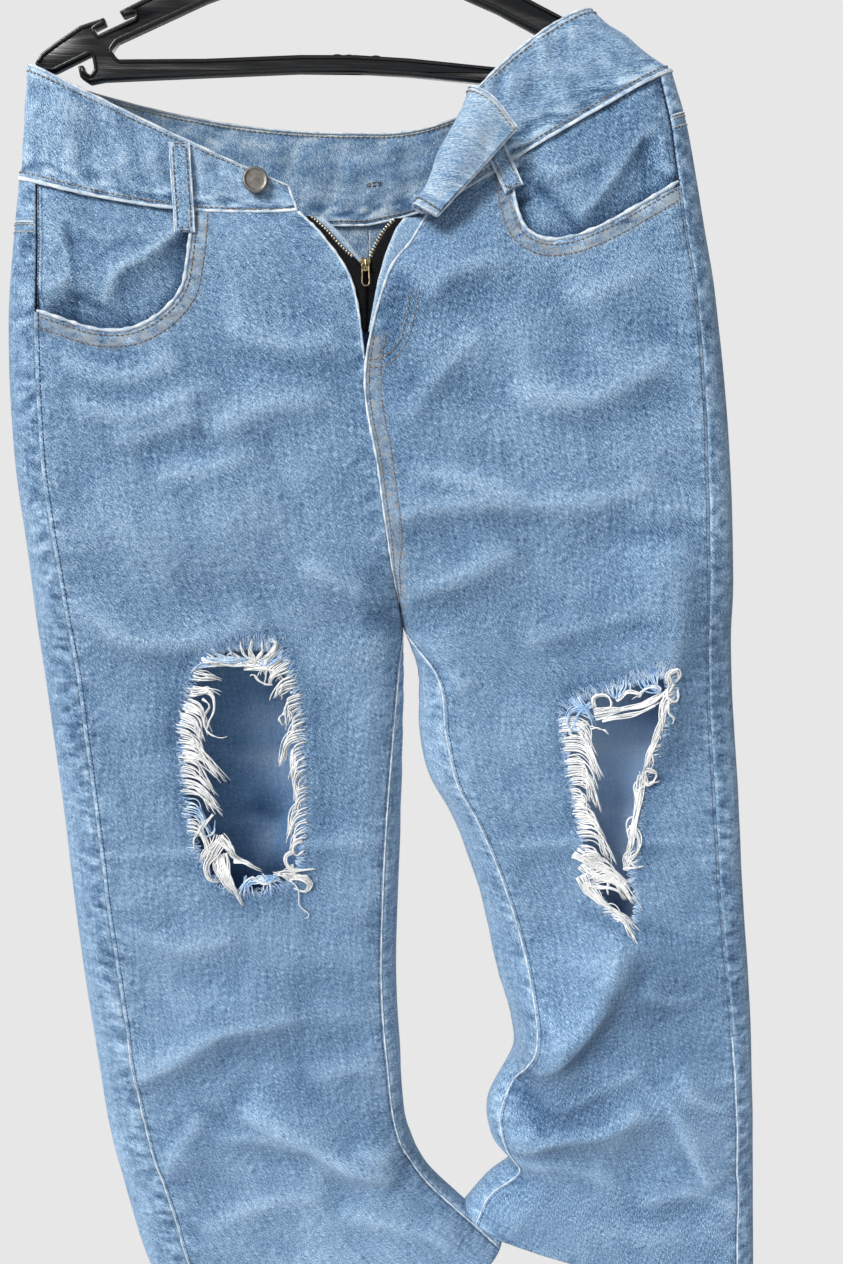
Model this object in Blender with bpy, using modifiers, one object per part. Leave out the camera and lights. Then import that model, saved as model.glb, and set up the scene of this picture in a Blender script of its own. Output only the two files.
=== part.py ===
"""Ripped wide-leg jeans, unbuttoned, hanging flat on a one-piece plastic hanger.

Frame: +X to the right as one faces the jeans, +Y into the wall behind them, +Z up.
Origin: the top of the inside of the hanger's hook, where a rail carries it.
Lengths in the tables and constants are millimetres; meshes are written in metres.

How the cloth is worked out: each side (one leg and its half of the hips) is a tube.
A table gives its sections from the waist seam down to the hem, and "turn" is the angle
round a section: pi at the front centre, 0 at the side fold, -pi at the back centre, and
past -pi it comes round the inside of the leg to the inseam on the front.
The panels are cut out of these two tubes along their seams, and each becomes a wall.
"""
import math
from collections import namedtuple

import bmesh
import bpy
import numpy as np
from mathutils import Matrix, Vector
from mathutils.bvhtree import BVHTree

MM = 0.001

# ---------------------------------------------------------------- driving sizes
CLOTH = 1.6                # one layer of denim with its turned edges
THIN_CLOTH = 1.2           # one layer alone: pocket facings, patch pockets, what is behind the fly
BAND = 3.0                 # the waistband, two layers and its stiffening
SEAM_GAP = 0.3             # between pieces that are sewn edge to edge
LAY_GAP = 0.6              # between a piece and the panel it lies on
SIDE_ROUND = 38.0          # how far a tube takes to round over at its sides
BAND_ROUND = 26.0          # the same for the top edge of the waistband
CROWN = 0.10               # how much a section's ends fall back from its middle
TWIST = 0.09               # how far the hems turn against the waist, mm of depth for a mm of width
HEM_DROP = 960.0           # drop at which that turn is complete
YOKE_SIDE, YOKE_CENTRE = 32.0, 66.0      # depth of the yoke at the side and at the centre back
LEVEL_DROP = 300.0         # from here down the back's rows run level with the front's
FRONT_COLUMNS = 13
SIDE_COLUMNS = 2           # from the outseam to the side fold
BACK_COLUMNS = 9
LAST_BUT_ONE = 0.87        # where the last back column but one lies: at the inside fold of the leg
BAND_ROWS = 2
YOKE_ROWS = 2
PANEL_ROWS = 26
EVEN_SHARE = 0.35          # columns are this far evenly spaced and for the rest closer at both ends
FOLD_EXPONENT = 4          # how late a fold dies out along its path

# ---------------------------------------------------------------- sections
# drop: mm below the waist seam.  o, f, b: the side fold, the front's and the back's inner
# end.  deep_f, deep_b: how far front and back stand off the middle plane.  shut: 0 where the
# inner end is open at the centre seams, 1 where the tube closes on itself as a leg.
# bow, sag: how far the front's and the back's row stand over a straight line.  side, inner:
# how far inside the outline the outseam and the inseam run on the front.
Section = namedtuple("Section", "drop ox oz fx fz bx bz deep_f deep_b shut bow sag side inner")

LEFT = [
    Section(0, -229, -200, -42, -220, 8, -222, 23, 24, 0.0, -9, -8, 14, 0),
    Section(40, -236, -235, -20, -238, 9, -250, 29, 30, 0.0, -4, -7, 20, 0),
    Section(85, -244, -277, 0, -268, 11, -290, 35, 35, 0.0, 0, -5, 25, 0),
    Section(130, -249, -320, 2.5, -318, 13, -325, 39, 39, 0.0, 0, -3, 27, 0),
    Section(205, -253, -394, 10, -395, 16, -398, 41, 42, 0.0, 0, 0, 28, 0),
    Section(270, -252, -457, 19, -460, 22, -460, 38, 38, 0.12, 0, 0, 29, 0),
    Section(306, -252, -492, 26, -496, 27, -496, 34, 34, 0.5, 0, 0, 30, 0),
    Section(330, -252, -516, 30, -520, 30, -520, 31, 31, 1.0, 0, 0, 31, 0),
    Section(362, -251, -548, 31, -553, 31, -553, 28, 29, 1.0, 0, 0, 31, 4),
    Section(415, -250, -602, 30, -608, 30, -608, 27, 28, 1.0, 0, 0, 31, 8),
    Section(490, -249, -675, 28, -681, 28, -681, 26, 27, 1.0, 0, 0, 32, 12),
    Section(565, -249, -749, 25, -755, 25, -755, 26, 26, 1.0, 0, 0, 33, 13),
    Section(645, -248, -828, 23, -833, 23, -833, 25, 25, 1.0, 0, 0, 35, 13),
    Section(725, -245, -912, 26, -914, 26, -914, 25, 25, 1.0, 0, 0, 36, 12),
    Section(810, -241, -997, 33, -1000, 33, -1000, 26, 26, 1.0, -4, 0, 41, 8),
    Section(865, -233, -1060, 52, -1048, 52, -1048, 27, 27, 1.0, -8, 0, 46, 4),
    Section(920, -220, -1140, 84, -1086, 84, -1086, 29, 28, 1.0, -14, 0, 48, 3),
    Section(990, -189, -1235, 122, -1127, 122, -1127, 31, 29, 1.0, -20, 0, 48, 3),
]
RIGHT = [
    Section(0, 220, -123, 47, -221, 8, -222, 25, 24, 0.0, 2, -14, 14, 0),
    Section(40, 233, -158, 35, -240, 9, -250, 31, 30, 0.0, 0, -12, 18, 0),
    Section(85, 247, -213, 18, -263, 11, -290, 37, 35, 0.0, 0, -8, 22, 0),
    Section(130, 260, -266, 2.5, -318, 13, -325, 41, 39, 0.0, 0, -4, 24, 0),
    Section(205, 279, -371, 10, -395, 16, -398, 43, 42, 0.0, 0, 0, 28, 0),
    Section(270, 290, -458, 19, -460, 22, -460, 40, 38, 0.12, 0, 0, 30, 0),
    Section(306, 294, -498, 26, -496, 27, -496, 35, 34, 0.5, 0, 0, 30, 0),
    Section(330, 295, -525, 30, -520, 30, -520, 32, 31, 1.0, 0, 0, 29, 0),
    Section(362, 298, -557, 41, -553, 41, -553, 29, 29, 1.0, 0, 0, 28, 12),
    Section(415, 305, -613, 43, -608, 43, -608, 28, 28, 1.0, 0, 0, 28, 19),
    Section(455, 311, -655, 51, -647, 51, -647, 28, 27, 1.0, 0, 0, 28, 20),
    Section(490, 315, -688, 68, -680, 68, -680, 28, 27, 1.0, 0, 0, 28, 20),
    Section(560, 324, -761, 94, -754, 94, -754, 27, 26, 1.0, 0, 0, 27, 22),
    Section(640, 335, -840, 111, -832, 111, -832, 27, 26, 1.0, 0, 0, 26, 24),
    Section(700, 342, -899, 125, -884, 125, -884, 29, 26, 1.0, 0, 0, 25, 14),
    Section(735, 345, -932, 128, -914, 128, -914, 30, 26, 1.0, 0, 0, 24, 6),
    Section(790, 351, -990, 105, -975, 105, -975, 28, 26, 1.0, 0, 0, 23, 8),
    Section(825, 354, -1024, 110, -1010, 110, -1010, 26, 26, 1.0, 0, 0, 23, 10),
    Section(855, 357, -1060, 127, -1037, 127, -1037, 27, 26, 1.0, 0, 0, 22, 6),
    Section(890, 361, -1109, 104, -1064, 104, -1064, 29, 27, 1.0, -3, 0, 24, 4),
    Section(940, 367, -1181, 85, -1091, 85, -1091, 31, 29, 1.0, -6, 0, 27, 8),
]
# The waistband's top edge, as a section above the waist seam.
LEFT_TOP = Section(-58, -216, -132, -47, -205, 8, -163, 19, 18, 0.0, -2, -10, 14, 0)
RIGHT_TOP = Section(-58, 162, -89, 79, -145, 8, -163, 20, 18, 0.0, 7, -20, 10, 0)
SIDES = {"left": (LEFT, LEFT_TOP, 1.0), "right": (RIGHT, RIGHT_TOP, -1.0)}

# The end of the band past the fly is folded back over the front like a lapel: a row for each
# station round the fold, with the band's lower and upper corner (x, y, z).
Lapel = namedtuple("Lapel", "low high")
LAPEL = [
    Lapel((40.0, -30.0, -220.0), (72.0, -25.5, -148.0)),
    Lapel((39.5, -36.0, -219.0), (73.0, -32.0, -150.5)),
    Lapel((44.0, -40.0, -222.0), (81.0, -37.0, -154.0)),
    Lapel((52.0, -41.0, -226.0), (102.0, -38.0, -171.0)),
]

# The largest folds.  path: (x, z) along the crest; height: mm it stands out; right, left:
# how wide it runs out to either side of its path as one goes along it.
Fold = namedtuple("Fold", "face path height right left")
FOLDS = [
    Fold("right front", ((228, -440), (233, -510), (234, -557), (227, -645)), 7, 55, 24),
    Fold("right front", ((215, -780), (193, -827), (165, -870), (137, -905), (119, -926)), 11, 48, 18),
    Fold("right front", ((117, -1002), (157, -988), (203, -978), (256, -940)), 8, 24, 30),
    Fold("right front", ((243, -905), (271, -959), (301, -1005), (328, -1034)), 6, 30, 28),
    Fold("left front", ((-214, -929), (-170, -899), (-122, -868), (-61, -857)), 5, 20, 34),
    Fold("left front", ((-122, -947), (-65, -983), (-27, -1011), (21, -1038)), 8, 20, 34),
    Fold("left front", ((-204, -414), (-157, -439), (-117, -433), (-57, -410)), 4, 24, 28),
    Fold("left back", ((-60, -470), (-110, -500), (-180, -508)), 6, 30, 24),
    Fold("left back", ((-190, -860), (-120, -905), (-40, -935)), 7, 30, 24),
    Fold("right back", ((90, -480), (150, -505), (230, -500)), 6, 24, 30),
    Fold("right back", ((300, -800), (240, -860), (160, -900)), 8, 28, 28),
]

CUTTER_DEPTHS = (-120.0, -2.0)           # y of the ends of the cutters that open the fronts
# Outlines as seen from the front, (x, z).
POCKET_FACING_FROM = 6     # the front column that the pocket facings start at
POCKET_FACING_ROWS = 4     # rows of the panel below the yoke that they run down
POCKETS = {
    "left": [(-113, -190), (-113, -233), (-116, -253), (-121, -272), (-134, -287), (-155, -298),
             (-178, -299), (-202, -292), (-264, -270), (-264, -185)],
    "right": [(98, -160), (105, -203), (108, -220), (114, -232), (125, -238), (145, -237),
              (167, -229), (190, -217), (266, -172), (266, -81)],
}
HOLES = {
    "left": [(-96, -544), (-76, -547), (-63, -561), (-57, -600), (-56, -651), (-58, -694), (-66, -720),
             (-84, -731), (-104, -727), (-118, -710), (-127, -677), (-128, -640), (-127, -606), (-118, -564)],
    "right": [(175, -585), (200, -576), (222, -573), (221, -605), (216, -637), (212, -673),
              (208, -717), (199, -707), (192, -680), (185, -654), (180, -629), (177, -607)],
}
# How far the fringe of each hole reaches over the panel, an outline with as many points.
FRAYS = {
    "left": [(-96, -518), (-72, -523), (-53, -545), (-47, -600), (-47, -659), (-50, -704), (-59, -737),
             (-84, -746), (-114, -747), (-133, -722), (-145, -677), (-147, -637), (-144, -587), (-129, -543)],
    "right": [(155, -575), (190, -559), (232, -549), (233, -605), (228, -645), (223, -685),
              (218, -770), (199, -763), (182, -719), (167, -674), (159, -634), (154, -603)],
}
FRINGE_THICK = 3.0
FRINGE_GAP = 0.85          # over the panel, a little more than flat pieces: the ring bridges its curve
FRINGE_INSIDE = 0.16       # how far it also reaches into the hole, as a share of the way to its middle
FRINGE_MIDDLE = 0.35       # where its middle ring lies, as a share of its reach over the panel

# The fly: at each height the x of the free edges of what is sewn behind the two fronts.
Fly = namedtuple("Fly", "z shield left_tape right_tape facing")
FLY = [
    Fly(-224.5, -24, -30, 30, 35),
    Fly(-232, -13, -19, 18, 26),
    Fly(-243, -5, -8, 11, 20),
    Fly(-250, 0, -0.7, 8.2, 17),
    Fly(-262, 10, -0.7, 8.2, 13),
    Fly(-266, 12, 3.4, 3.9, 12),
    Fly(-280, 12, 3.4, 3.8, 9),
    Fly(-300, 11, 2.4, 2.8, 5),
]
TUCKED = 12.0              # how far these pieces run on behind the fronts
TAPE_THICK = 0.8
FACING_LAYER, TAPE_LAYER, SHIELD_LAYER = 0.5, 2.3, 3.8   # depth behind the fronts' inner face
SLIDER = (3.75, -256.0)    # x, z of the middle of the zip's slider
SLIDER_BEHIND = 1.6        # its depth behind the fronts' inner face
SLIDER_SIZE = (7.4, 4.2, 9.0)
SLIDER_REACH = 12.0        # how far above and below it the lean of the cloth is taken
ARCH = [(0, -1.2, 3.2), (0, -3.6, 3.2), (0, -4.9, 2.0), (0, -4.9, -1.6), (0, -3.6, -2.8), (0, -1.2, -2.8)]
ARCH_WIRE, TAB_WIRE = 0.6, 0.5           # radii
TAB_PIVOT = (0.0, -3.35, 0.4)            # on the slider, inside its arch
TAB_HALF, TAB_LENGTH, TAB_CORNER = 2.3, 15.0, 1.0

BUTTON = (-69.0, -203.0)   # x, z on the left end of the band
BUTTON_RADIUS = 8.5
LOOP_WIDTH, LOOP_THICK, LOOP_LIFT = 13.0, 1.4, 2.2
LOOP_STATIONS = 7
# Belt loops: upper and lower end of the middle line, (x, z), and the face they are sewn on.
Loop = namedtuple("Loop", "name face top bottom")
LOOPS = [
    Loop("belt_loop_front_left", "front", (-118, -180), (-117, -237)),
    Loop("belt_loop_front_right", "front", (87, -168), (106, -207)),
    Loop("belt_loop_back_left", "back", (-124, -159), (-130, -224)),
    Loop("belt_loop_back_centre", "back", (8, -168), (8, -232)),
    Loop("belt_loop_back_right", "back", (101, -145), (128, -198)),
]
BACK_POCKET = dict(width=138.0, height=150.0, point=18.0, taper=0.86, columns=7, rows=6)
BACK_POCKETS = {"left": (-108.0, -298.0, -2.0), "right": (122.0, -286.0, 5.0)}   # x, z of the top, lean

# The hanger: half of its flat outline from the middle of the top round to the middle of the
# bar, with the strap notch and the strap hook, and half of the opening inside it.
HANGER_THICK = 7.0
HANGER_OUTLINE = [
    (0, -42), (9, -43), (14, -49), (30, -53), (60, -62), (98, -75), (139, -92), (154, -99), (152, -102),
    (144, -99), (144, -102), (169, -113), (171, -110), (163, -106), (164, -103), (180, -108.1),
    (195, -117.3), (206, -124.6), (211, -131), (206, -135), (199, -135.5), (174, -124), (173, -133),
    (176, -136.4), (179, -134.6), (180, -131), (183.4, -131.7), (182.6, -138), (177, -141.4),
    (168, -139.5), (100, -135), (37, -131), (0, -130),
]
HANGER_OPENING = [(0, -62), (30, -69), (60, -78), (97, -91), (157, -117), (161, -122), (157, -127),
                  (100, -125), (37, -121), (0, -120)]
HOOK_ROD = 3.4             # radius of the hook's rod
HOOK_INSIDE = 20.0         # radius of the inside of the hook
HOOK_TURNS = np.linspace(205, -52, 18)   # degrees round the hook, from its open end
HOOK_FOOT = [(4.5, 0, -36.4), (0.6, 0, -38.2), (0, 0, -39.6), (0, 0, -41.4)]   # down to the frame

# ---------------------------------------------------------------- finishes, colours linear RGB
Finish = namedtuple("Finish", "name colour roughness metallic")
DENIM = Finish("washed_denim", (0.235, 0.385, 0.565), 0.9, 0.0)
POCKET_DENIM = Finish("pocket_denim", (0.36, 0.47, 0.58), 0.92, 0.0)
COTTON = Finish("frayed_cotton", (0.78, 0.76, 0.70), 0.95, 0.0)
BLACK_TAPE = Finish("black_tape", (0.012, 0.012, 0.014), 0.85, 0.0)
BRASS = Finish("brass", (0.52, 0.38, 0.17), 0.35, 1.0)
BUTTON_METAL = Finish("button_metal", (0.42, 0.39, 0.35), 0.4, 1.0)
BLACK_PLASTIC = Finish("black_plastic", (0.006, 0.006, 0.008), 0.3, 0.0)


# ---------------------------------------------------------------- scene and materials
def start_empty():
    """Clear the scene and make one collection for the jeans and one for the cutters."""
    for thing in list(bpy.data.objects):
        bpy.data.objects.remove(thing, do_unlink=True)
    made = []
    for name in ("ripped_jeans", "cutters"):
        collection = bpy.data.collections.new(name)
        bpy.context.scene.collection.children.link(collection)
        made.append(collection)
    return made


def give_finish(data, name, finish):
    """Give a mesh or curve its own Principled material."""
    material = bpy.data.materials.new(f"{name}_{finish.name}")
    material.use_nodes = True
    shader = material.node_tree.nodes["Principled BSDF"]
    shader.inputs["Base Color"].default_value = (*finish.colour, 1.0)
    shader.inputs["Roughness"].default_value = finish.roughness
    shader.inputs["Metallic"].default_value = finish.metallic
    data.materials.clear()
    data.materials.append(material)


def add_object(name, data, finish, collection):
    """Link an object with its own material."""
    thing = bpy.data.objects.new(name, data)
    give_finish(data, name, finish)
    collection.objects.link(thing)
    return thing


def mesh_of(name, points, faces):
    """A mesh from points in millimetres, with its faces turned outwards."""
    mesh = bpy.data.meshes.new(name)
    mesh.from_pydata([tuple(p) for p in np.asarray(points) * MM], [], faces)
    shape = bmesh.new()
    shape.from_mesh(mesh)
    bmesh.ops.recalc_face_normals(shape, faces=shape.faces)
    shape.to_mesh(mesh)
    shape.free()
    mesh.shade_smooth()
    mesh.set_sharp_from_angle(angle=math.radians(50))
    return mesh


# ---------------------------------------------------------------- the two tubes
def smooth(at, knots, values):
    """Cubic curve through (knots, values): at each knot it has the slope of its neighbours' parabola."""
    slopes = np.gradient(values, knots)
    i = np.clip(np.searchsorted(knots, at, side="right") - 1, 0, len(knots) - 2)
    span = knots[i + 1] - knots[i]
    t = (at - knots[i]) / span
    return ((2 * t ** 3 - 3 * t ** 2 + 1) * values[i] + (t ** 3 - 2 * t ** 2 + t) * span * slopes[i]
            + (3 * t ** 2 - 2 * t ** 3) * values[i + 1] + (t ** 3 - t ** 2) * span * slopes[i + 1])


def sections_at(table, drop):
    """The table's columns at any array of drops."""
    columns = np.array(table, float).T
    return Section(*[smooth(drop, columns[0], column) for column in columns])


def share_across(turn):
    """Share of the way from the side fold (0) to the inner end (1), closer set at both ends."""
    turn = np.abs(turn)
    return EVEN_SHARE * turn / math.pi + (1 - EVEN_SHARE) * (1 - np.cos(turn)) / 2


def turn_at(share):
    """The turn at a share of the way across: share_across the other way round."""
    turns = np.linspace(0, math.pi, 400)
    return np.interp(share, share_across(turns), turns)


def seam_turns(sec):
    """Turn at the inseam (or centre front) and at the outseam."""
    width = np.hypot(sec.fx - sec.ox, sec.fz - sec.oz)
    return turn_at(1 - sec.inner / width), turn_at(sec.side / width)


def quarter_round(share):
    """Quarter of a circle: 0 at the edge, 1 from the end of the rounding on."""
    return np.sqrt(np.clip(1 - (1 - np.clip(share, 0, 1)) ** 2, 0, 1))


def fold_height(fold, x, z):
    """How far a fold lifts the points (x, z): a bell across its path that dies out at its ends."""
    path = np.array(fold.path, float)
    steps = np.diff(path, axis=0)
    lengths = np.hypot(*steps.T)
    before = np.concatenate(([0], np.cumsum(lengths)))
    nearest, lift = np.full(x.shape, np.inf), np.zeros(x.shape)
    for start, step, length, run in zip(path, steps, lengths, before):
        off_x, off_z = x - start[0], z - start[1]
        along = np.clip((off_x * step[0] + off_z * step[1]) / length ** 2, 0, 1)
        away = np.hypot(off_x - along * step[0], off_z - along * step[1])
        on_left = step[0] * off_z - step[1] * off_x > 0
        bell = np.exp(-(away / np.where(on_left, fold.left, fold.right)) ** 2)
        fade = 1 - (2 * (run + along * length) / before[-1] - 1) ** FOLD_EXPONENT
        lift = np.where(away < nearest, fold.height * fade * bell, lift)
        nearest = np.minimum(nearest, away)
    return lift


def tube_points(sec, turn, hand, rounding=SIDE_ROUND):
    """Points of a tube's outer face at sections sec and angles turn."""
    turn = np.where(turn < -math.pi, turn + 2 * math.pi, turn)
    front = turn >= 0
    share = share_across(turn)
    inner_x, inner_z = np.where(front, sec.fx, sec.bx), np.where(front, sec.fz, sec.bz)
    width = np.hypot(inner_x - sec.ox, inner_z - sec.oz)
    x = sec.ox + (inner_x - sec.ox) * share - hand * SEAM_GAP / 2 * share
    z = sec.oz + (inner_z - sec.oz) * share + np.where(front, sec.bow, sec.sag) * 4 * share * (1 - share)
    side, centre = quarter_round(share * width / rounding), quarter_round((1 - share) * width / rounding)
    shut = np.clip(sec.shut, 0, 1)
    crown = 1 - CROWN * ((1 - shut) * (1 - share) ** 2 + shut * (2 * share - 1) ** 2)
    stand = side * (1 - shut + shut * centre) * crown
    y = np.where(front, -sec.deep_f, sec.deep_b) * stand - TWIST * x * np.clip(sec.drop / HEM_DROP, 0, 1)
    return np.stack([x, y, z], axis=-1), front, stand


def unit(vectors):
    """Vectors of length one."""
    return vectors / np.linalg.norm(vectors, axis=-1, keepdims=True)


def tangents(points, axis):
    """Unit direction along an axis of a grid: halfway between the steps before and after a point."""
    steps = unit(np.diff(points, axis=axis))
    first, last = np.take(steps, [0], axis=axis), np.take(steps, [-1], axis=axis)
    before, after = np.concatenate([first, steps], axis=axis), np.concatenate([steps, last], axis=axis)
    return unit(before + after)


class Side:
    """One side's outer face as a grid: rows from the band's top edge to the hem, columns from the
    centre front or inseam round the side fold to the centre back or inseam."""

    def __init__(self, name, table, top, hand):
        self.seam_row = BAND_ROWS
        self.yoke_row = BAND_ROWS + YOKE_ROWS
        self.out_column = FRONT_COLUMNS
        self.fold_column = FRONT_COLUMNS + SIDE_COLUMNS
        f = np.linspace(0, 1, FRONT_COLUMNS + 1)
        s = np.linspace(0, 1, SIDE_COLUMNS + 1)[1:]
        b = np.append(np.linspace(0, LAST_BUT_ONE, BACK_COLUMNS)[1:], 1.0)
        round_back = np.concatenate([np.zeros(len(f) + SIDE_COLUMNS), b])
        at_in = np.concatenate([1 - f, np.zeros(SIDE_COLUMNS), b])
        at_out = np.concatenate([f, 1 - s, np.zeros(BACK_COLUMNS)])
        yoke = YOKE_SIDE + (YOKE_CENTRE - YOKE_SIDE) * round_back
        yoke_rows = np.linspace(0, 1, YOKE_ROWS + 1)[:, None] * yoke
        lower = np.linspace(YOKE_SIDE, table[-1].drop, PANEL_ROWS + 1)[1:, None]
        slant = (yoke - YOKE_SIDE) * np.clip(1 - (lower - YOKE_SIDE) / (LEVEL_DROP - YOKE_SIDE), 0, 1)
        drop = np.concatenate([yoke_rows, lower + slant])
        sec = sections_at(table, drop)
        turn_in, turn_out = seam_turns(sec)
        turn = at_in * turn_in + at_out * turn_out - 2 * math.pi * round_back
        panel, front, stand = tube_points(sec, turn, hand)
        for fold in FOLDS:
            if fold.face.startswith(name):
                facing = front if fold.face.endswith("front") else ~front
                lift = fold_height(fold, panel[..., 0], panel[..., 2]) * stand * facing
                panel[..., 1] += np.where(front, -lift, lift)
        edge, _, _ = tube_points(top, turn[0], hand, BAND_ROUND)
        up = np.linspace(1, 0, BAND_ROWS + 1)[:-1, None, None]
        self.points = np.concatenate([edge * up + panel[0] * (1 - up), panel])
        closed = np.concatenate([np.zeros(BAND_ROWS), sec.shut[:, 0]]) > 0.999
        self.normals = self.outward(hand, closed)

    def outward(self, hand, closed):
        """Unit normals; where the leg is closed, its first and last column share theirs."""
        down, round_ = tangents(self.points, 0), tangents(self.points, 1)
        both = round_[closed, 0] + round_[closed, -1]
        round_[closed, 0] = round_[closed, -1] = both
        return unit(np.cross(round_, down)) * hand


def drawn_in(layer, amount):
    """Move the four edges of a grid of points towards its middle."""
    layer = layer.copy()
    for edge, beside in ((0, 1), (-1, -2)):
        step = layer[beside] - layer[edge]
        layer[edge] += step * (amount / np.linalg.norm(step, axis=-1, keepdims=True))
    for edge, beside in ((0, 1), (-1, -2)):
        step = layer[:, beside] - layer[:, edge]
        layer[:, edge] += step * (amount / np.linalg.norm(step, axis=-1, keepdims=True))
    return layer


def cut_in_two(number):
    """Triangles over a grid of vertex numbers, all squares cut along the same diagonal."""
    first = np.stack([number[:-1, :-1], number[1:, :-1], number[1:, 1:]], axis=-1)
    second = np.stack([number[:-1, :-1], number[1:, 1:], number[:-1, 1:]], axis=-1)
    return np.concatenate([first.reshape(-1, 3), second.reshape(-1, 3)])


def wall(name, outer, inner, finish, collection):
    """A closed wall between two grids of points, joined round their edges."""
    rows, columns = outer.shape[:2]
    number = np.arange(rows * columns).reshape(rows, columns)

    rim = np.concatenate([number[0, :-1], number[:-1, -1], number[-1, :0:-1], number[:0:-1, 0]])
    ahead = np.roll(rim, -1)
    below = rows * columns
    halves = cut_in_two(number)
    edge = np.stack([rim, ahead, ahead + below, rim, ahead + below, rim + below], axis=-1).reshape(-1, 3)
    faces = np.concatenate([halves, halves[:, ::-1] + below, edge]).tolist()
    points = np.concatenate([outer.reshape(-1, 3), inner.reshape(-1, 3)])
    return add_object(name, mesh_of(name, points, faces), finish, collection)


def panel_wall(name, side, rows, columns, finish, collection, behind=0.0, thick=CLOTH):
    """A wall from part of a side's grid, its outer face set behind the tube's by that much."""
    points, normals = side.points[rows, columns], side.normals[rows, columns]
    outer = drawn_in(points - normals * behind, SEAM_GAP / 2)
    inner = drawn_in(points - normals * (behind + thick), SEAM_GAP / 2)
    return wall(name, outer, inner, finish, collection)


# ---------------------------------------------------------------- things that lie on the cloth
class Cloth:
    """The outer faces of both tubes, to be asked for the point over or under (x, z)."""

    def __init__(self, sides):
        points, faces, base = [], [], 0
        for side in sides.values():
            rows, columns = side.points.shape[:2]
            number = np.arange(rows * columns).reshape(rows, columns) + base
            faces.extend(cut_in_two(number).tolist())
            points.extend(side.points.reshape(-1, 3).tolist())
            base += rows * columns
        self.tree = BVHTree.FromPolygons(points, faces)

    def at(self, x, z, face="front"):
        """Point and outward normal on the front or the back; over a seam's gap, those beside it."""
        ahead = 1.0 if face == "front" else -1.0
        for aside in (0.0, 0.5, -0.5):
            start = Vector((x + aside, -500.0 * ahead, z))
            hit, normal, _, _ = self.tree.ray_cast(start, Vector((0, ahead, 0)))
            if hit is not None:
                break
        if normal.y * ahead > 0:
            normal = -normal
        return np.array(hit) - (aside, 0, 0), np.array(normal)


def laid_on(name, cloth, face, grid, gap, thick, finish, collection):
    """A wall that follows the cloth: grid holds (x, z), gap one lift for each point."""
    rows, columns = grid.shape[:2]
    found = [cloth.at(x, z, face) for x, z in grid.reshape(-1, 2)]
    points = np.array([hit for hit, _ in found]).reshape(rows, columns, 3)
    normals = np.array([normal for _, normal in found]).reshape(rows, columns, 3)
    inner = points + normals * gap
    return wall(name, inner + normals * thick, inner, finish, collection)


def belt_loop(cloth, loop, finish, collection):
    """A folded strip of denim, tacked down at both ends and standing off between them."""
    top, bottom = np.array(loop.top, float), np.array(loop.bottom, float)
    run = np.linspace(0, 1, LOOP_STATIONS)[:, None]
    middle = top + (bottom - top) * run
    across = np.array([-(bottom - top)[1], (bottom - top)[0]]) / np.linalg.norm(bottom - top)
    edges = np.linspace(-0.5, 0.5, 3)[None, :, None] * LOOP_WIDTH
    grid = middle[:, None, :] + across * edges
    lift = LAY_GAP + LOOP_LIFT * np.sqrt(np.clip(np.sin(math.pi * run), 0, 1))
    laid_on(loop.name, cloth, loop.face, grid, lift[:, :, None], LOOP_THICK, finish, collection)


def back_pocket(cloth, side_name, finish, collection):
    """A patch pocket: straight top, sides that draw in a little and a blunt point below."""
    x, z, lean = BACK_POCKETS[side_name]
    u, v = np.meshgrid(np.linspace(-0.5, 0.5, BACK_POCKET["columns"]), np.linspace(0, 1, BACK_POCKET["rows"]))
    width = BACK_POCKET["width"] * (1 - (1 - BACK_POCKET["taper"]) * v)
    drop = v * (BACK_POCKET["height"] + BACK_POCKET["point"] * (0.5 - np.abs(u)) * 2)
    turn = math.radians(lean)
    grid = np.stack([x + u * width * math.cos(turn) + drop * math.sin(turn),
                     z + u * width * math.sin(turn) - drop * math.cos(turn)], axis=-1)
    name = f"back_pocket_{side_name}"
    laid_on(name, cloth, "back", grid, LAY_GAP, THIN_CLOTH, finish, collection)


def fringe(cloth, side_name, finish, collection):
    """The reach of the frayed threads round a hole: a soft ring on the panel and over its edge."""
    hole, reach = np.array(HOLES[side_name], float), np.array(FRAYS[side_name], float)
    middle = hole.mean(axis=0)
    inner = hole + (middle - hole) * FRINGE_INSIDE
    rings = [inner, hole + (reach - hole) * FRINGE_MIDDLE, reach]
    count = len(hole)
    at = np.arange(2 * count) / 2
    knots = np.arange(-2, count + 3)
    around = [ring[knots % count].T for ring in rings]
    grid = np.array([np.stack([smooth(at, knots, x), smooth(at, knots, z)], axis=-1) for x, z in around])
    found = [cloth.at(x, z) for x, z in grid.reshape(-1, 2)]
    hits = np.array([hit for hit, _ in found]).reshape(grid.shape[0], -1, 3)
    normals = np.array([normal for _, normal in found]).reshape(hits.shape)
    low = hits + normals * FRINGE_GAP
    high = low + normals * FRINGE_THICK
    loops = np.array([low[0], high[0], high[1], high[2], low[2], low[1]])
    total = loops.shape[1]
    number = np.arange(loops.shape[0] * total).reshape(loops.shape[0], total)
    beside, under = np.roll(number, -1, axis=1), np.roll(number, -1, axis=0)
    corner = np.roll(under, -1, axis=1)
    faces = np.stack([number, beside, corner, under], axis=-1).reshape(-1, 4).tolist()
    name = f"fringe_{side_name}"
    add_object(name, mesh_of(name, loops.reshape(-1, 3), faces), finish, collection)


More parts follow.
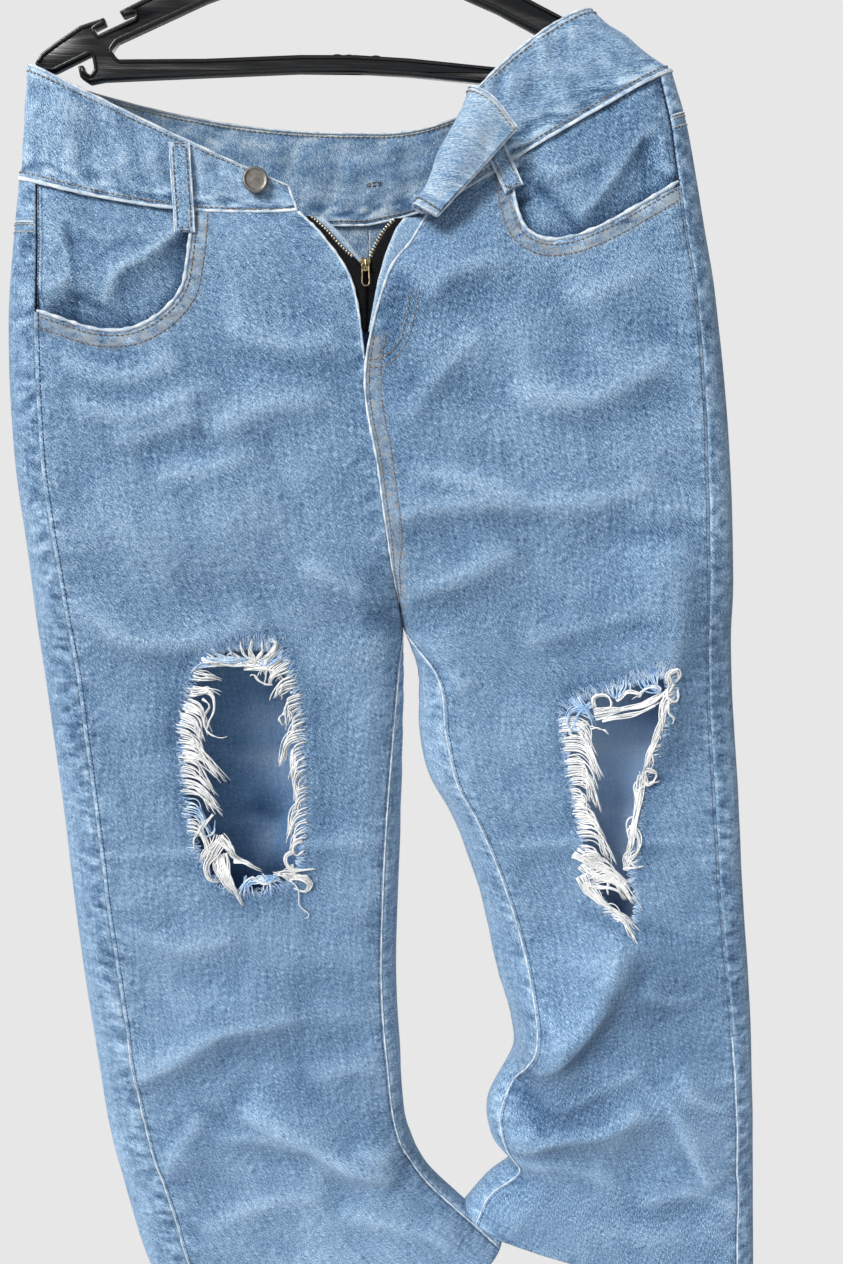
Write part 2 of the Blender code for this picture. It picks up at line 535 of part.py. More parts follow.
# ---------------------------------------------------------------- cuts
def prism(name, outline, cutters):
    """A cutter from an outline seen from the front, through the front panel alone."""
    count = len(outline)
    near, far = CUTTER_DEPTHS
    points = [(x, near, z) for x, z in outline] + [(x, far, z) for x, z in outline]
    faces = [list(range(count)), list(range(2 * count - 1, count - 1, -1))]
    faces += [[i, (i + 1) % count, (i + 1) % count + count, i + count] for i in range(count)]
    cutter = bpy.data.objects.new(name, mesh_of(name, points, faces))
    cutters.objects.link(cutter)
    cutter.hide_render = True
    cutter.display_type = "WIRE"
    return cutter


def cut_away(thing, cutter):
    """Subtract a cutter with an exact Boolean."""
    cut = thing.modifiers.new(cutter.name, "BOOLEAN")
    cut.operation = "DIFFERENCE"
    cut.solver = "EXACT"
    cut.object = cutter


def join_to(thing, other):
    """Fuse another mesh object into this one and drop the other."""
    union = thing.modifiers.new("join", "BOOLEAN")
    union.operation = "UNION"
    union.solver = "EXACT"
    union.object = other
    fused = bpy.data.meshes.new_from_object(thing.evaluated_get(bpy.context.evaluated_depsgraph_get()))
    thing.modifiers.clear()
    thing.data = fused
    bpy.data.objects.remove(other, do_unlink=True)


def as_mesh(curve_object):
    """Turn a curve object into a mesh with welded caps, keeping its name and place."""
    bpy.context.view_layer.update()
    mesh = bpy.data.meshes.new_from_object(curve_object.evaluated_get(bpy.context.evaluated_depsgraph_get()))
    shape = bmesh.new()
    shape.from_mesh(mesh)
    bmesh.ops.remove_doubles(shape, verts=shape.verts, dist=0.00001)
    bmesh.ops.recalc_face_normals(shape, faces=shape.faces)
    shape.to_mesh(mesh)
    shape.free()
    name, place = curve_object.name, curve_object.matrix_world.copy()
    home = curve_object.users_collection[0]
    bpy.data.objects.remove(curve_object, do_unlink=True)
    thing = bpy.data.objects.new(name, mesh)
    thing.matrix_world = place
    home.objects.link(thing)
    return thing


# ---------------------------------------------------------------- pieces
def waistband(sides, finish, collection):
    """The band: left end, round the left side, the back and the right side to the lapel."""
    rows = slice(0, BAND_ROWS + 1)
    left, right = sides["left"], sides["right"]
    down = np.linspace(0, 1, BAND_ROWS + 1)[:, None, None]
    low, high = np.array([s.low for s in LAPEL]), np.array([s.high for s in LAPEL])
    lapel = high + (low - high) * down
    points = np.concatenate([left.points[rows, :-1], (left.points[rows, -1:] + right.points[rows, -1:]) / 2,
                             right.points[rows, -2::-1], lapel], axis=1)
    normals = unit(np.cross(tangents(points, 1), tangents(points, 0)))
    body = left.points.shape[1] - 1
    normals[-1, 1:body] = left.normals[BAND_ROWS, 1:-1]
    normals[-1, body + 1:2 * body] = right.normals[BAND_ROWS, -2:0:-1]
    outer, inner = drawn_in(points, SEAM_GAP / 2), drawn_in(points - normals * BAND, SEAM_GAP / 2)
    wall("waistband", outer, inner, finish, collection)


def panels(name, side, collection, cutters):
    """Front with its pocket mouth and hole, pocket facing, yoke and back of one side."""
    last = side.points.shape[0]
    front_rows, back_rows = slice(side.seam_row, last), slice(side.yoke_row, last)
    front_columns = slice(0, side.out_column + 1)
    back_columns = slice(side.out_column, side.points.shape[1])
    front = panel_wall(f"front_{name}", side, front_rows, front_columns, DENIM, collection)
    cut_away(front, prism(f"pocket_mouth_{name}", POCKETS[name], cutters))
    cut_away(front, prism(f"hole_{name}", HOLES[name], cutters))
    panel_wall(f"back_{name}", side, back_rows, back_columns, DENIM, collection)
    yoke_rows = slice(side.seam_row, side.yoke_row + 1)
    panel_wall(f"yoke_{name}", side, yoke_rows, back_columns, DENIM, collection)
    facing_rows = slice(side.seam_row, side.yoke_row + POCKET_FACING_ROWS)
    facing_columns = slice(POCKET_FACING_FROM, side.out_column + 1)
    panel_wall(f"pocket_facing_{name}", side, facing_rows, facing_columns, POCKET_DENIM, collection,
               behind=CLOTH + LAY_GAP, thick=THIN_CLOTH)


def fly_depth(z):
    """Depth of the inner face of both fronts next to the fly, at a height."""
    knots = [(row.fz, -min(row.deep_f, other.deep_f)) for row, other in zip(LEFT[:6], RIGHT[:6])]
    heights, depths = np.array(knots[::-1]).T
    return np.interp(z, heights, depths) + CLOTH


def fly_strip(name, free, other, layer, thick, finish, collection):
    """A strip behind the fly: free and other are the x of its two edges at each height."""
    z = np.array([row.z for row in FLY], float)
    y = fly_depth(z) + layer
    edges = np.stack([free, other], axis=1)
    front = np.stack([edges, np.repeat(y[:, None], 2, axis=1), np.repeat(z[:, None], 2, axis=1)], axis=-1)
    wall(name, front, front + np.array([0, thick, 0]), finish, collection)


def fly(collection):
    """Zip tapes, the shield behind the left one and the facing in front of the right one: each
    shows from its free edge on and runs in behind the front it is sewn to."""
    z = np.array([row.z for row in FLY], float)
    left_edge = np.interp(-z, [-row.fz for row in LEFT[:6]], [row.fx for row in LEFT[:6]]) - TUCKED
    right_edge = np.interp(-z, [-row.fz for row in RIGHT[:6]], [row.fx for row in RIGHT[:6]]) + TUCKED
    free = Fly(*np.array(FLY, float).T)
    strips = [
        ("zip_tape_left", free.left_tape, left_edge, FACING_LAYER, TAPE_THICK, BLACK_TAPE),
        ("fly_shield", free.shield, left_edge, SHIELD_LAYER, THIN_CLOTH, DENIM),
        ("zip_tape_right", free.right_tape, right_edge, TAPE_LAYER, TAPE_THICK, BLACK_TAPE),
        ("fly_facing", free.facing, right_edge, FACING_LAYER, THIN_CLOTH, POCKET_DENIM),
    ]
    for name, edge, tucked, layer, thick, finish in strips:
        fly_strip(name, edge, tucked, layer, thick, finish, collection)


def wire(name, points, radius, finish, collection, closed=False, sides=2):
    """A round wire along points."""
    curve = bpy.data.curves.new(name, "CURVE")
    curve.dimensions = "3D"
    curve.bevel_depth = radius * MM
    curve.bevel_resolution = sides
    curve.use_fill_caps = not closed
    spline = curve.splines.new("POLY")
    spline.points.add(len(points) - 1)
    for point, place in zip(spline.points, points):
        point.co = (*(Vector(place) * MM), 1.0)
    spline.use_cyclic_u = closed
    return add_object(name, curve, finish, collection)


def slider_frame():
    """Where the zip's slider sits: turned to the lean of the fronts beside it."""
    x, z = SLIDER
    lean = math.atan2(fly_depth(z + SLIDER_REACH) - fly_depth(z - SLIDER_REACH), 2 * SLIDER_REACH)
    middle = Vector((x, fly_depth(z) + SLIDER_BEHIND, z)) * MM
    return Matrix.Translation(middle) @ Matrix.Rotation(-lean, 4, "X")


def zip_slider(finish, collection):
    """The slider's body with the arch that holds the pull tab."""
    bpy.ops.mesh.primitive_cube_add(size=1)
    body = bpy.context.object
    body.name = body.data.name = "zip_slider"
    body.data.transform(Matrix.Diagonal((*(Vector(SLIDER_SIZE) * MM), 1)))
    bevel = body.modifiers.new("rounded", "BEVEL")
    bevel.width = 1.1 * MM
    bevel.segments = 2
    bpy.context.view_layer.update()
    rounded = bpy.data.meshes.new_from_object(body.evaluated_get(bpy.context.evaluated_depsgraph_get()))
    body.modifiers.clear()
    body.data = rounded
    join_to(body, as_mesh(wire("arch", ARCH, ARCH_WIRE, finish, collection)))
    give_finish(body.data, body.name, finish)
    for home in list(body.users_collection):
        home.objects.unlink(body)
    collection.objects.link(body)
    body.matrix_world = slider_frame()


def pull_tab(finish, collection):
    """A small wire loop through the slider's arch; it swings about its own upper bar."""
    side, near, far = TAB_HALF - TAB_CORNER, -TAB_CORNER, TAB_CORNER - TAB_LENGTH
    right = [(side, 0.0), (TAB_HALF, near), (TAB_HALF, far), (side, -TAB_LENGTH)]
    outline = right + [(-x, z) for x, z in reversed(right)]
    tab = wire("pull_tab", [(x, 0, z) for x, z in outline], TAB_WIRE, finish, collection, closed=True)
    tab.matrix_world = slider_frame() @ Matrix.Translation(Vector(TAB_PIVOT) * MM)


def jeans_button(cloth, finish, collection):
    """A turned tack button: domed rim, hollow face and shank."""
    profile = [(0.0, 4.3), (5.6, 4.3), (6.6, 4.8), (7.8, 4.7), (BUTTON_RADIUS, 4.0), (BUTTON_RADIUS, 3.3),
               (7.4, 2.8), (3.0, 2.6), (3.0, LAY_GAP), (0.0, LAY_GAP)]
    mesh = bpy.data.meshes.new("button")
    edges = [(i, i + 1) for i in range(len(profile) - 1)]
    mesh.from_pydata([(r * MM, 0, h * MM) for r, h in profile], edges, [])
    button = add_object("button", mesh, finish, collection)
    turned = button.modifiers.new("turned", "SCREW")
    turned.steps = turned.render_steps = 20
    turned.use_merge_vertices = True
    turned.merge_threshold = 0.00001
    hit, normal = cloth.at(*BUTTON)
    button.rotation_euler = Vector(normal).to_track_quat("Z", "Y").to_euler()
    button.location = Vector(hit) * MM


def flat_plate(name, outlines, thick, finish, collection):
    """A flat plate standing in the XZ plane, from closed outlines; an inner one is an opening."""
    curve = bpy.data.curves.new(name, "CURVE")
    curve.dimensions = "2D"
    curve.fill_mode = "BOTH"
    curve.extrude = thick / 2 * MM
    for outline in outlines:
        spline = curve.splines.new("POLY")
        spline.points.add(len(outline) - 1)
        for point, (x, z) in zip(spline.points, outline):
            point.co = (x * MM, z * MM, 0, 1)
        spline.use_cyclic_u = True
    plate = add_object(name, curve, finish, collection)
    plate.rotation_euler = (math.pi / 2, 0, 0)
    return plate


def hanger(finish, collection):
    """The frame, cut from one sheet-like outline, and the hook of round rod above it."""
    outlines = []
    for half in (HANGER_OUTLINE, HANGER_OPENING):
        outlines.append(half + [(-x, z) for x, z in reversed(half[1:-1])])
    frame = as_mesh(flat_plate("hanger_frame", outlines, HANGER_THICK, finish, collection))
    give_finish(frame.data, frame.name, finish)
    middle = -HOOK_INSIDE
    radius = HOOK_INSIDE + HOOK_ROD
    bend = [(radius * math.cos(a), 0, middle + radius * math.sin(a)) for a in np.radians(HOOK_TURNS)]
    wire("hanger_hook", bend + HOOK_FOOT, HOOK_ROD, finish, collection)


def build():
    """Make every piece of the jeans and the hanger."""
    collection, cutters = start_empty()
    sides = {name: Side(name, *given) for name, given in SIDES.items()}
    cloth = Cloth(sides)
    waistband(sides, DENIM, collection)
    for name, side in sides.items():
        panels(name, side, collection, cutters)
        fringe(cloth, name, COTTON, collection)
        back_pocket(cloth, name, DENIM, collection)
    for loop in LOOPS:
        belt_loop(cloth, loop, DENIM, collection)
    fly(collection)
    zip_slider(BRASS, collection)
    pull_tab(BRASS, collection)
    jeans_button(cloth, BUTTON_METAL, collection)
    hanger(BLACK_PLASTIC, collection)


build()
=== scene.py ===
"""Looks of the ripped jeans: light-wash denim with wear and painted shade, frayed knee rips, an open zip fly
and the hanger.

Every cloth piece is a surface worked out from the same sections as its solid, as a function of
"drop" (mm below the waist seam) and "round" (0 at the centre front or inseam, 1 at the outseam,
2 at the side fold, 3 at the centre back or, on a leg, the inseam again).
Lengths are millimetres until a mesh is written, which is in metres.
"""
import math
from collections import namedtuple

import bmesh
import bpy
import numpy as np
from bpy.props import FloatProperty, FloatVectorProperty, IntProperty, PointerProperty
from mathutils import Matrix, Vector


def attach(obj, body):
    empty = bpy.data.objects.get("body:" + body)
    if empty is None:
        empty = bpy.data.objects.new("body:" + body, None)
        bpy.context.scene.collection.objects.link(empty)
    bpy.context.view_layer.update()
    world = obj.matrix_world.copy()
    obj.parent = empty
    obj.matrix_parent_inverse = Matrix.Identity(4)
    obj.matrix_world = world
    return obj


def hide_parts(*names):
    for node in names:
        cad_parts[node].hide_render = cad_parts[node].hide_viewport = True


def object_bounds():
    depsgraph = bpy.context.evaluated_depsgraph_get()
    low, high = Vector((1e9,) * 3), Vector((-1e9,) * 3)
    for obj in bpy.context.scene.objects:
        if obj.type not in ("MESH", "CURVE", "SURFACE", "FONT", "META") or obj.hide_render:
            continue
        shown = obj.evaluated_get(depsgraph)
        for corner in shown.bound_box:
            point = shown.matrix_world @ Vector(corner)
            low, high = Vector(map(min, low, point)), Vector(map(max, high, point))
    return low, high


bl_info = {
    "name": "Ripped jeans",
    "version": (1, 0, 0),
    "blender": (4, 5, 0),
    "location": "View3D > Sidebar > Jeans",
    "description": "Builds a pair of ripped jeans on a plastic hanger",
    "category": "Add Mesh",
}

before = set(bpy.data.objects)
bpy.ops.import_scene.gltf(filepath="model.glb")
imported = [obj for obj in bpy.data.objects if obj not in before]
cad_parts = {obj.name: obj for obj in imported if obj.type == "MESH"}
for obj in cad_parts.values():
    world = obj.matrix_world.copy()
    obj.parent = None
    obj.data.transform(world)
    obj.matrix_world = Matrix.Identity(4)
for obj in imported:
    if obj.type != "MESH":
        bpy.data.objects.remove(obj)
CAD_BOX = [list(corner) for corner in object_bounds()]

MM = 0.001
JEANS, TAB = "jeans", "pull_tab"                    # the bodies that pieces ride on

# ---------------------------------------------------------------- the garment's form
SEAM_GAP = 0.3                                      # between the two sides at the centre
LAY_GAP = 0.6                                       # under a pocket or loop that lies on the cloth
CLOTH = 1.6                                         # the denim's wall in the solids
BAND_HEIGHT = 58.0
SIDE_ROUND, BAND_ROUND = 38.0, 26.0                 # how wide the side folds of leg and band are rounded
CROWN = 0.10                                        # share of the depth that a leg is flatter at its sides
TWIST, HEM_DROP = 0.09, 960.0                       # mm back for each mm aside, in full at this drop
YOKE_SIDE, YOKE_CENTRE = 32.0, 66.0                 # drop of the yoke seam at the side and the centre
EVEN_SHARE = 0.35                                   # how evenly columns are set, 0 to 1
TWILL_ANGLE = 40.0                                  # degrees the twill strokes lean
WRONG_TWILL = TWILL_ANGLE - 80                      # and on the cloth's wrong side

# drop: mm below the waist seam.  o, f, b: the side fold, the front's and the back's inner end.
# deep_f, deep_b: how far front and back stand off the middle plane.  shut: 1 where the tube
# closes on itself as a leg.  bow, sag: how far the rows stand over a straight line.
# side, inner: how far inside the outline the outseam and the inseam run on the front.
Section = namedtuple("Section", "drop ox oz fx fz bx bz deep_f deep_b shut bow sag side inner")
LEFT = [Section(*row) for row in (
    (0, -229, -200, -42, -220, 8, -222, 23, 24, 0.0, -9, -8, 14, 0),
    (40, -236, -235, -24, -238, 9, -250, 29, 30, 0.0, -4, -7, 20, 0),
    (85, -244, -277, -5, -268, 11, -290, 35, 35, 0.0, 0, -5, 25, 0),
    (130, -249, -320, 2.5, -318, 13, -325, 39, 39, 0.0, 0, -3, 27, 0),
    (205, -253, -394, 10, -395, 16, -398, 41, 42, 0.0, 0, 0, 28, 0),
    (270, -252, -457, 19, -460, 22, -460, 38, 38, 0.12, 0, 0, 29, 0),
    (306, -252, -492, 26, -496, 27, -496, 34, 34, 0.5, 0, 0, 30, 0),
    (330, -252, -516, 30, -520, 30, -520, 31, 31, 1.0, 0, 0, 31, 0),
    (362, -251, -548, 31, -553, 31, -553, 28, 29, 1.0, 0, 0, 31, 4),
    (415, -250, -602, 30, -608, 30, -608, 27, 28, 1.0, 0, 0, 31, 8),
    (490, -249, -675, 28, -681, 28, -681, 26, 27, 1.0, 0, 0, 32, 12),
    (565, -249, -749, 25, -755, 25, -755, 26, 26, 1.0, 0, 0, 33, 13),
    (645, -248, -828, 23, -833, 23, -833, 25, 25, 1.0, 0, 0, 35, 13),
    (725, -245, -912, 26, -914, 26, -914, 25, 25, 1.0, 0, 0, 36, 12),
    (810, -241, -997, 33, -1000, 33, -1000, 26, 26, 1.0, -4, 0, 41, 8),
    (865, -233, -1060, 52, -1048, 52, -1048, 27, 27, 1.0, -8, 0, 46, 4),
    (920, -220, -1140, 84, -1086, 84, -1086, 29, 28, 1.0, -14, 0, 48, 3),
    (990, -189, -1235, 122, -1127, 122, -1127, 31, 29, 1.0, -20, 0, 48, 3),
)]
RIGHT = [Section(*row) for row in (
    (0, 220, -123, 47, -221, 8, -222, 25, 24, 0.0, 2, -14, 14, 0),
    (40, 233, -158, 35, -240, 9, -250, 31, 30, 0.0, 0, -12, 18, 0),
    (85, 247, -213, 18, -263, 11, -290, 37, 35, 0.0, 0, -8, 22, 0),
    (130, 260, -266, 2.5, -318, 13, -325, 41, 39, 0.0, 0, -4, 24, 0),
    (205, 279, -371, 10, -395, 16, -398, 43, 42, 0.0, 0, 0, 28, 0),
    (270, 290, -458, 19, -460, 22, -460, 40, 38, 0.12, 0, 0, 30, 0),
    (306, 294, -498, 26, -496, 27, -496, 35, 34, 0.5, 0, 0, 30, 0),
    (330, 295, -525, 30, -520, 30, -520, 32, 31, 1.0, 0, 0, 29, 0),
    (362, 298, -557, 41, -553, 41, -553, 29, 29, 1.0, 0, 0, 28, 12),
    (415, 305, -613, 43, -608, 43, -608, 28, 28, 1.0, 0, 0, 28, 19),
    (455, 311, -655, 51, -647, 51, -647, 28, 27, 1.0, 0, 0, 28, 20),
    (490, 315, -688, 68, -680, 68, -680, 28, 27, 1.0, 0, 0, 28, 20),
    (560, 324, -761, 94, -754, 94, -754, 27, 26, 1.0, 0, 0, 27, 22),
    (640, 335, -840, 111, -832, 111, -832, 27, 26, 1.0, 0, 0, 26, 24),
    (700, 342, -899, 125, -884, 125, -884, 29, 26, 1.0, 0, 0, 25, 14),
    (735, 345, -932, 128, -914, 128, -914, 30, 26, 1.0, 0, 0, 24, 6),
    (790, 351, -990, 105, -975, 105, -975, 28, 26, 1.0, 0, 0, 23, 8),
    (825, 354, -1024, 110, -1010, 110, -1010, 26, 26, 1.0, 0, 0, 23, 10),
    (855, 357, -1060, 127, -1037, 127, -1037, 27, 26, 1.0, 0, 0, 22, 6),
    (890, 361, -1109, 104, -1064, 104, -1064, 29, 27, 1.0, -3, 0, 24, 4),
    (940, 367, -1181, 85, -1091, 85, -1091, 31, 29, 1.0, -6, 0, 27, 8),
)]
# The waistband's top edge, as a section above the waist seam.
LEFT_TOP = Section(-58, -216, -132, -47, -205, 8, -163, 19, 18, 0.0, -2, -10, 14, 0)
RIGHT_TOP = Section(-58, 162, -89, 79, -145, 8, -163, 20, 18, 0.0, 7, -20, 10, 0)
SIDES = {"left": (LEFT, LEFT_TOP, 1.0), "right": (RIGHT, RIGHT_TOP, -1.0)}

Lapel = namedtuple("Lapel", "low high")
LAPEL = [
    Lapel((40.0, -30.0, -220.0), (77.0, -25.5, -145.0)),
    Lapel((39.5, -36.0, -219.0), (79.0, -32.0, -147.0)),
    Lapel((44.0, -40.0, -222.0), (87.0, -37.0, -152.0)),
    Lapel((52.0, -41.0, -226.0), (105.0, -38.0, -171.0)),
]

# path: (x, z) along the crest; height: mm it stands out; right, left: how wide it runs out to
# either side of the path; crisp: 0 for a round crest, up to 1 for a sharp one.
Fold = namedtuple("Fold", "face path height right left crisp", defaults=(0.0,))
FOLDS = [Fold(face, *row) for face, rows in {
    "right front": [
        (((228, -440), (233, -510), (234, -557), (227, -645)), 7, 55, 24),
        (((215, -780), (193, -827), (165, -870), (137, -905), (119, -926)), 11, 48, 18),
        (((117, -1002), (157, -988), (203, -978), (256, -940)), 8, 24, 30),
        (((243, -905), (271, -959), (301, -1005), (328, -1034)), 6, 30, 28),
    ],
    "left front": [
        (((-214, -929), (-170, -899), (-122, -868), (-61, -857)), 5, 20, 34),
        (((-122, -947), (-65, -983), (-27, -1011), (21, -1038)), 8, 20, 34),
        (((-204, -414), (-157, -439), (-117, -433), (-57, -410)), 4, 24, 28),
    ],
    "left back": [
        (((-60, -470), (-110, -500), (-180, -508)), 6, 30, 24),
        (((-190, -860), (-120, -905), (-40, -935)), 7, 30, 24),
    ],
    "right back": [
        (((90, -480), (150, -505), (230, -500)), 6, 24, 30),
        (((300, -800), (240, -860), (160, -900)), 8, 28, 28),
    ],
}.items() for row in rows]
# Smaller creases, only in the cloth's looks: whiskers at the hips and thighs, the crease that
# storing them folded has left across both legs, and the breaks above the hems.
CREASES = [Fold(face, *row) for face, rows in {
    "right front": [
        (((212, -772), (192, -828), (164, -871), (136, -905), (117, -928)), 9.0, 26, 52, 0.2),
        (((222, -440), (231, -510), (233, -557), (228, -640)), 4.5, 40, 24, 0.2),
        (((28, -364), (49, -333), (70, -312), (86, -296)), 1.8, 8, 12, 0.4),
        (((45, -280), (56, -266), (77, -257), (102, -253)), 2.0, 6, 12, 0.5),
        (((100, -338), (151, -347), (202, -327), (222, -309)), 3.2, 9, 22, 0.4),
        (((14, -434), (49, -421), (116, -419), (176, -416), (224, -396)), 3.0, 10, 18, 0.4),
        (((30, -394), (79, -403), (118, -419)), 2.0, 8, 16, 0.5),
        (((28, -494), (49, -482), (79, -470), (112, -451)), 2.7, 10, 16, 0.4),
        (((116, -528), (165, -512), (222, -495)), 2.0, 12, 18, 0.3),
        (((40, -520), (58, -545), (76, -570)), 2.4, 14, 10, 0.4),
        (((138, -279), (170, -270), (208, -250)), 1.6, 10, 14, 0.3),
        (((96, -701), (156, -698), (223, -697), (290, -700)), 1.3, 7, 9, 0.6),
        (((200, -832), (188, -850), (163, -888), (128, -922), (116, -928)), 4.0, 26, 8, 0.8),
        (((124, -843), (149, -857), (160, -880)), 1.6, 10, 12, 0.4),
        (((150, -960), (200, -930), (254, -897)), 2.2, 8, 18, 0.5),
        (((113, -1004), (135, -996), (158, -985), (204, -974), (240, -950)), 4.0, 8, 16, 0.8),
        (((110, -992), (132, -984), (146, -972)), 4.0, 9, 9, 0.7),
        (((250, -926), (276, -983), (306, -1048)), 3.2, 8, 14, 0.7),
        (((262, -912), (290, -948), (322, -962)), 2.0, 9, 12, 0.5),
        (((238, -1061), (288, -1050), (338, -1074)), 2.0, 14, 16, 0.4),
        (((112, -1026), (168, -1019), (226, -1046)), 1.6, 12, 16, 0.3),
        (((226, -830), (258, -846), (290, -842)), 1.8, 10, 14, 0.4),
    ],
    "left back": [
        (((-40, -660), (-66, -684), (-88, -716), (-98, -752)), 2.6, 20, 12, 0.4),
        (((-236, -468), (-150, -486), (-60, -500), (10, -488)), 2.6, 12, 18, 0.4),
        (((-220, -520), (-130, -535), (-30, -526)), 2.0, 12, 16, 0.4),
        (((-232, -706), (-170, -701), (-100, -700), (-40, -695), (22, -694)), 1.3, 9, 7, 0.6),
        (((-200, -930), (-120, -890), (-40, -880), (20, -890)), 3.0, 18, 8, 0.6),
        (((-180, -1020), (-90, -1000), (-10, -1040), (60, -1090)), 3.2, 18, 9, 0.6),
        (((-150, -620), (-110, -640), (-40, -636)), 2.0, 14, 14, 0.3),
    ],
    "left front": [
        (((-208, -314), (-184, -328), (-158, -330), (-120, -318)), 2.6, 7, 16, 0.5),
        (((-203, -344), (-170, -356), (-135, -349), (-98, -330)), 3.0, 8, 18, 0.5),
        (((-176, -374), (-143, -367), (-110, -354)), 2.4, 7, 15, 0.4),
        (((-96, -298), (-43, -309), (-10, -304)), 2.1, 9, 15, 0.3),
        (((-110, -370), (-79, -354), (-18, -342)), 2.1, 10, 16, 0.3),
        (((-150, -398), (-110, -392), (-70, -378)), 2.0, 9, 13, 0.4),
        (((-214, -486), (-177, -520), (-133, -523), (-74, -505)), 3.2, 12, 22, 0.4),
        (((-50, -459), (-19, -477), (20, -496)), 1.6, 10, 14, 0.3),
        (((-232, -706), (-170, -701), (-100, -700), (-40, -695), (22, -694)), 1.3, 7, 9, 0.6),
        (((-206, -768), (-159, -787), (-110, -782)), 1.6, 12, 18, 0.3),
        (((-192, -1029), (-171, -986), (-148, -958)), 3.0, 22, 9, 0.7),
        (((-222, -936), (-172, -902), (-120, -869), (-92, -866), (-50, -858)), 2.6, 7, 20, 0.8),
        (((-120, -950), (-66, -983), (-28, -1010), (14, -1031), (30, -1038)), 4.2, 8, 22, 0.8),
        (((-20, -990), (10, -1003), (36, -1004), (60, -1012)), 3.0, 10, 12, 0.7),
        (((-146, -988), (-101, -983), (-62, -1000)), 1.6, 10, 14, 0.3),
        (((-36, -1066), (23, -1086), (80, -1112)), 2.0, 14, 18, 0.3),
        (((-165, -1092), (-105, -1057), (-38, -1046)), 2.2, 16, 20, 0.3),
        (((-60, -925), (-20, -915), (12, -920)), 1.6, 14, 14, 0.3),
    ],
    "right back": [
        (((50, -468), (130, -488), (220, -500), (290, -480)), 2.6, 12, 18, 0.4),
        (((60, -540), (150, -548), (240, -540)), 2.0, 14, 16, 0.4),
        (((96, -701), (156, -698), (223, -697), (290, -700)), 1.3, 9, 7, 0.6),
        (((130, -930), (200, -900), (290, -880)), 3.0, 16, 9, 0.6),
        (((120, -1020), (200, -1000), (310, -1030)), 3.0, 16, 9, 0.6),
        (((150, -620), (200, -640), (270, -630)), 2.0, 14, 14, 0.3),
    ],
}.items() for row in rows]
# Painted shade where the cloth turns from the light or lies in a hollow, and painted light (height below 0)
# inside the left rip, given as folds are: height is how much, from 0 to 1.
PAINTED_SHADES = [Fold(face, *row) for face, rows in {
    "right front": [
        (((224, -765), (194, -828), (166, -871), (138, -905), (96, -938)), 0.26, 5, 120),
        (((112, -962), (150, -972), (214, -958)), 0.14, 30, 50),
        (((234, -440), (242, -540), (238, -650)), 0.14, 30, 60),
        (((26, -258), (20, -292), (8, -322)), 0.45, 7, 12), (((4, -462), (6, -520)), 0.5, 12, 12),
    ],
    "left front": [
        (((4, -462), (6, -520)), 0.4, 9, 12), (((-148, -905), (-60, -895), (10, -888)), 0.12, 8, 50),
        (((-80, -960), (20, -975), (60, -985)), 0.16, 8, 40),
    ],
    "left back": [
        (((-82, -586), (-78, -630), (-72, -676)), -0.5, 26, 24),
        (((-106, -680), (-86, -694), (-68, -704)), 0.5, 6, 14),
        (((-98, -714), (-84, -722), (-66, -726)), -0.35, 12, 12),
        (((-128, -560), (-130, -620), (-124, -680)), 0.35, 22, 22),
    ],
}.items() for row in rows]
# Folds of the pocket facings, by side.
POCKET_FOLDS = [Fold(face, *row) for face, rows in {
    "left": [
        (((-112, -226), (-140, -248), (-164, -262), (-176, -284)), 6.5, 34, 7, 0.8),
        (((-236, -196), (-224, -226), (-206, -256), (-194, -280)), 5.5, 10, 16, 0.6),
        (((-205, -200), (-182, -222), (-166, -246)), 3.0, 12, 14, 0.3),
    ],
    "right": [
        (((212, -112), (196, -160), (172, -200), (150, -226)), 7.0, 40, 8, 0.8),
        (((160, -130), (146, -170), (128, -205)), 3.5, 16, 14, 0.4),
        (((240, -120), (228, -160), (214, -196)), 4.0, 14, 14, 0.4),
    ],
}.items() for row in rows]
CREASE_GAIN = 1.6                         # how much higher creases are than their tables say
CRISPER = 0.3                             # and how much crisper
FOLD_EXPONENT = 4                         # a fold keeps its height and runs out at its ends
UNEVEN = ((64.0, 0.9), (23.0, 0.22))      # wavelength and height, mm, of the cloth's low unevenness

# Outlines as seen from the front, (x, z): the pocket mouths, closed behind, and the bare rips.
POCKETS = {
    "left": [(-113, -190), (-113, -233), (-116, -253), (-121, -272), (-134, -287), (-155, -298),
             (-178, -299), (-202, -292), (-264, -270), (-264, -185)],
    "right": [(98, -160), (105, -203), (108, -220), (114, -232), (125, -238), (145, -237),
              (167, -229), (190, -217), (266, -172), (266, -81)],
}
HOLES = {
    "left": [(-96, -544), (-76, -547), (-63, -561), (-57, -600), (-56, -651), (-58, -694), (-66, -720),
             (-84, -731), (-104, -727), (-118, -710), (-127, -677), (-128, -640), (-127, -606), (-118, -564)],
    "right": [(175, -585), (200, -576), (222, -573), (221, -605), (216, -637), (212, -673),
              (208, -717), (199, -707), (192, -680), (185, -654), (180, -629), (177, -607)],
}

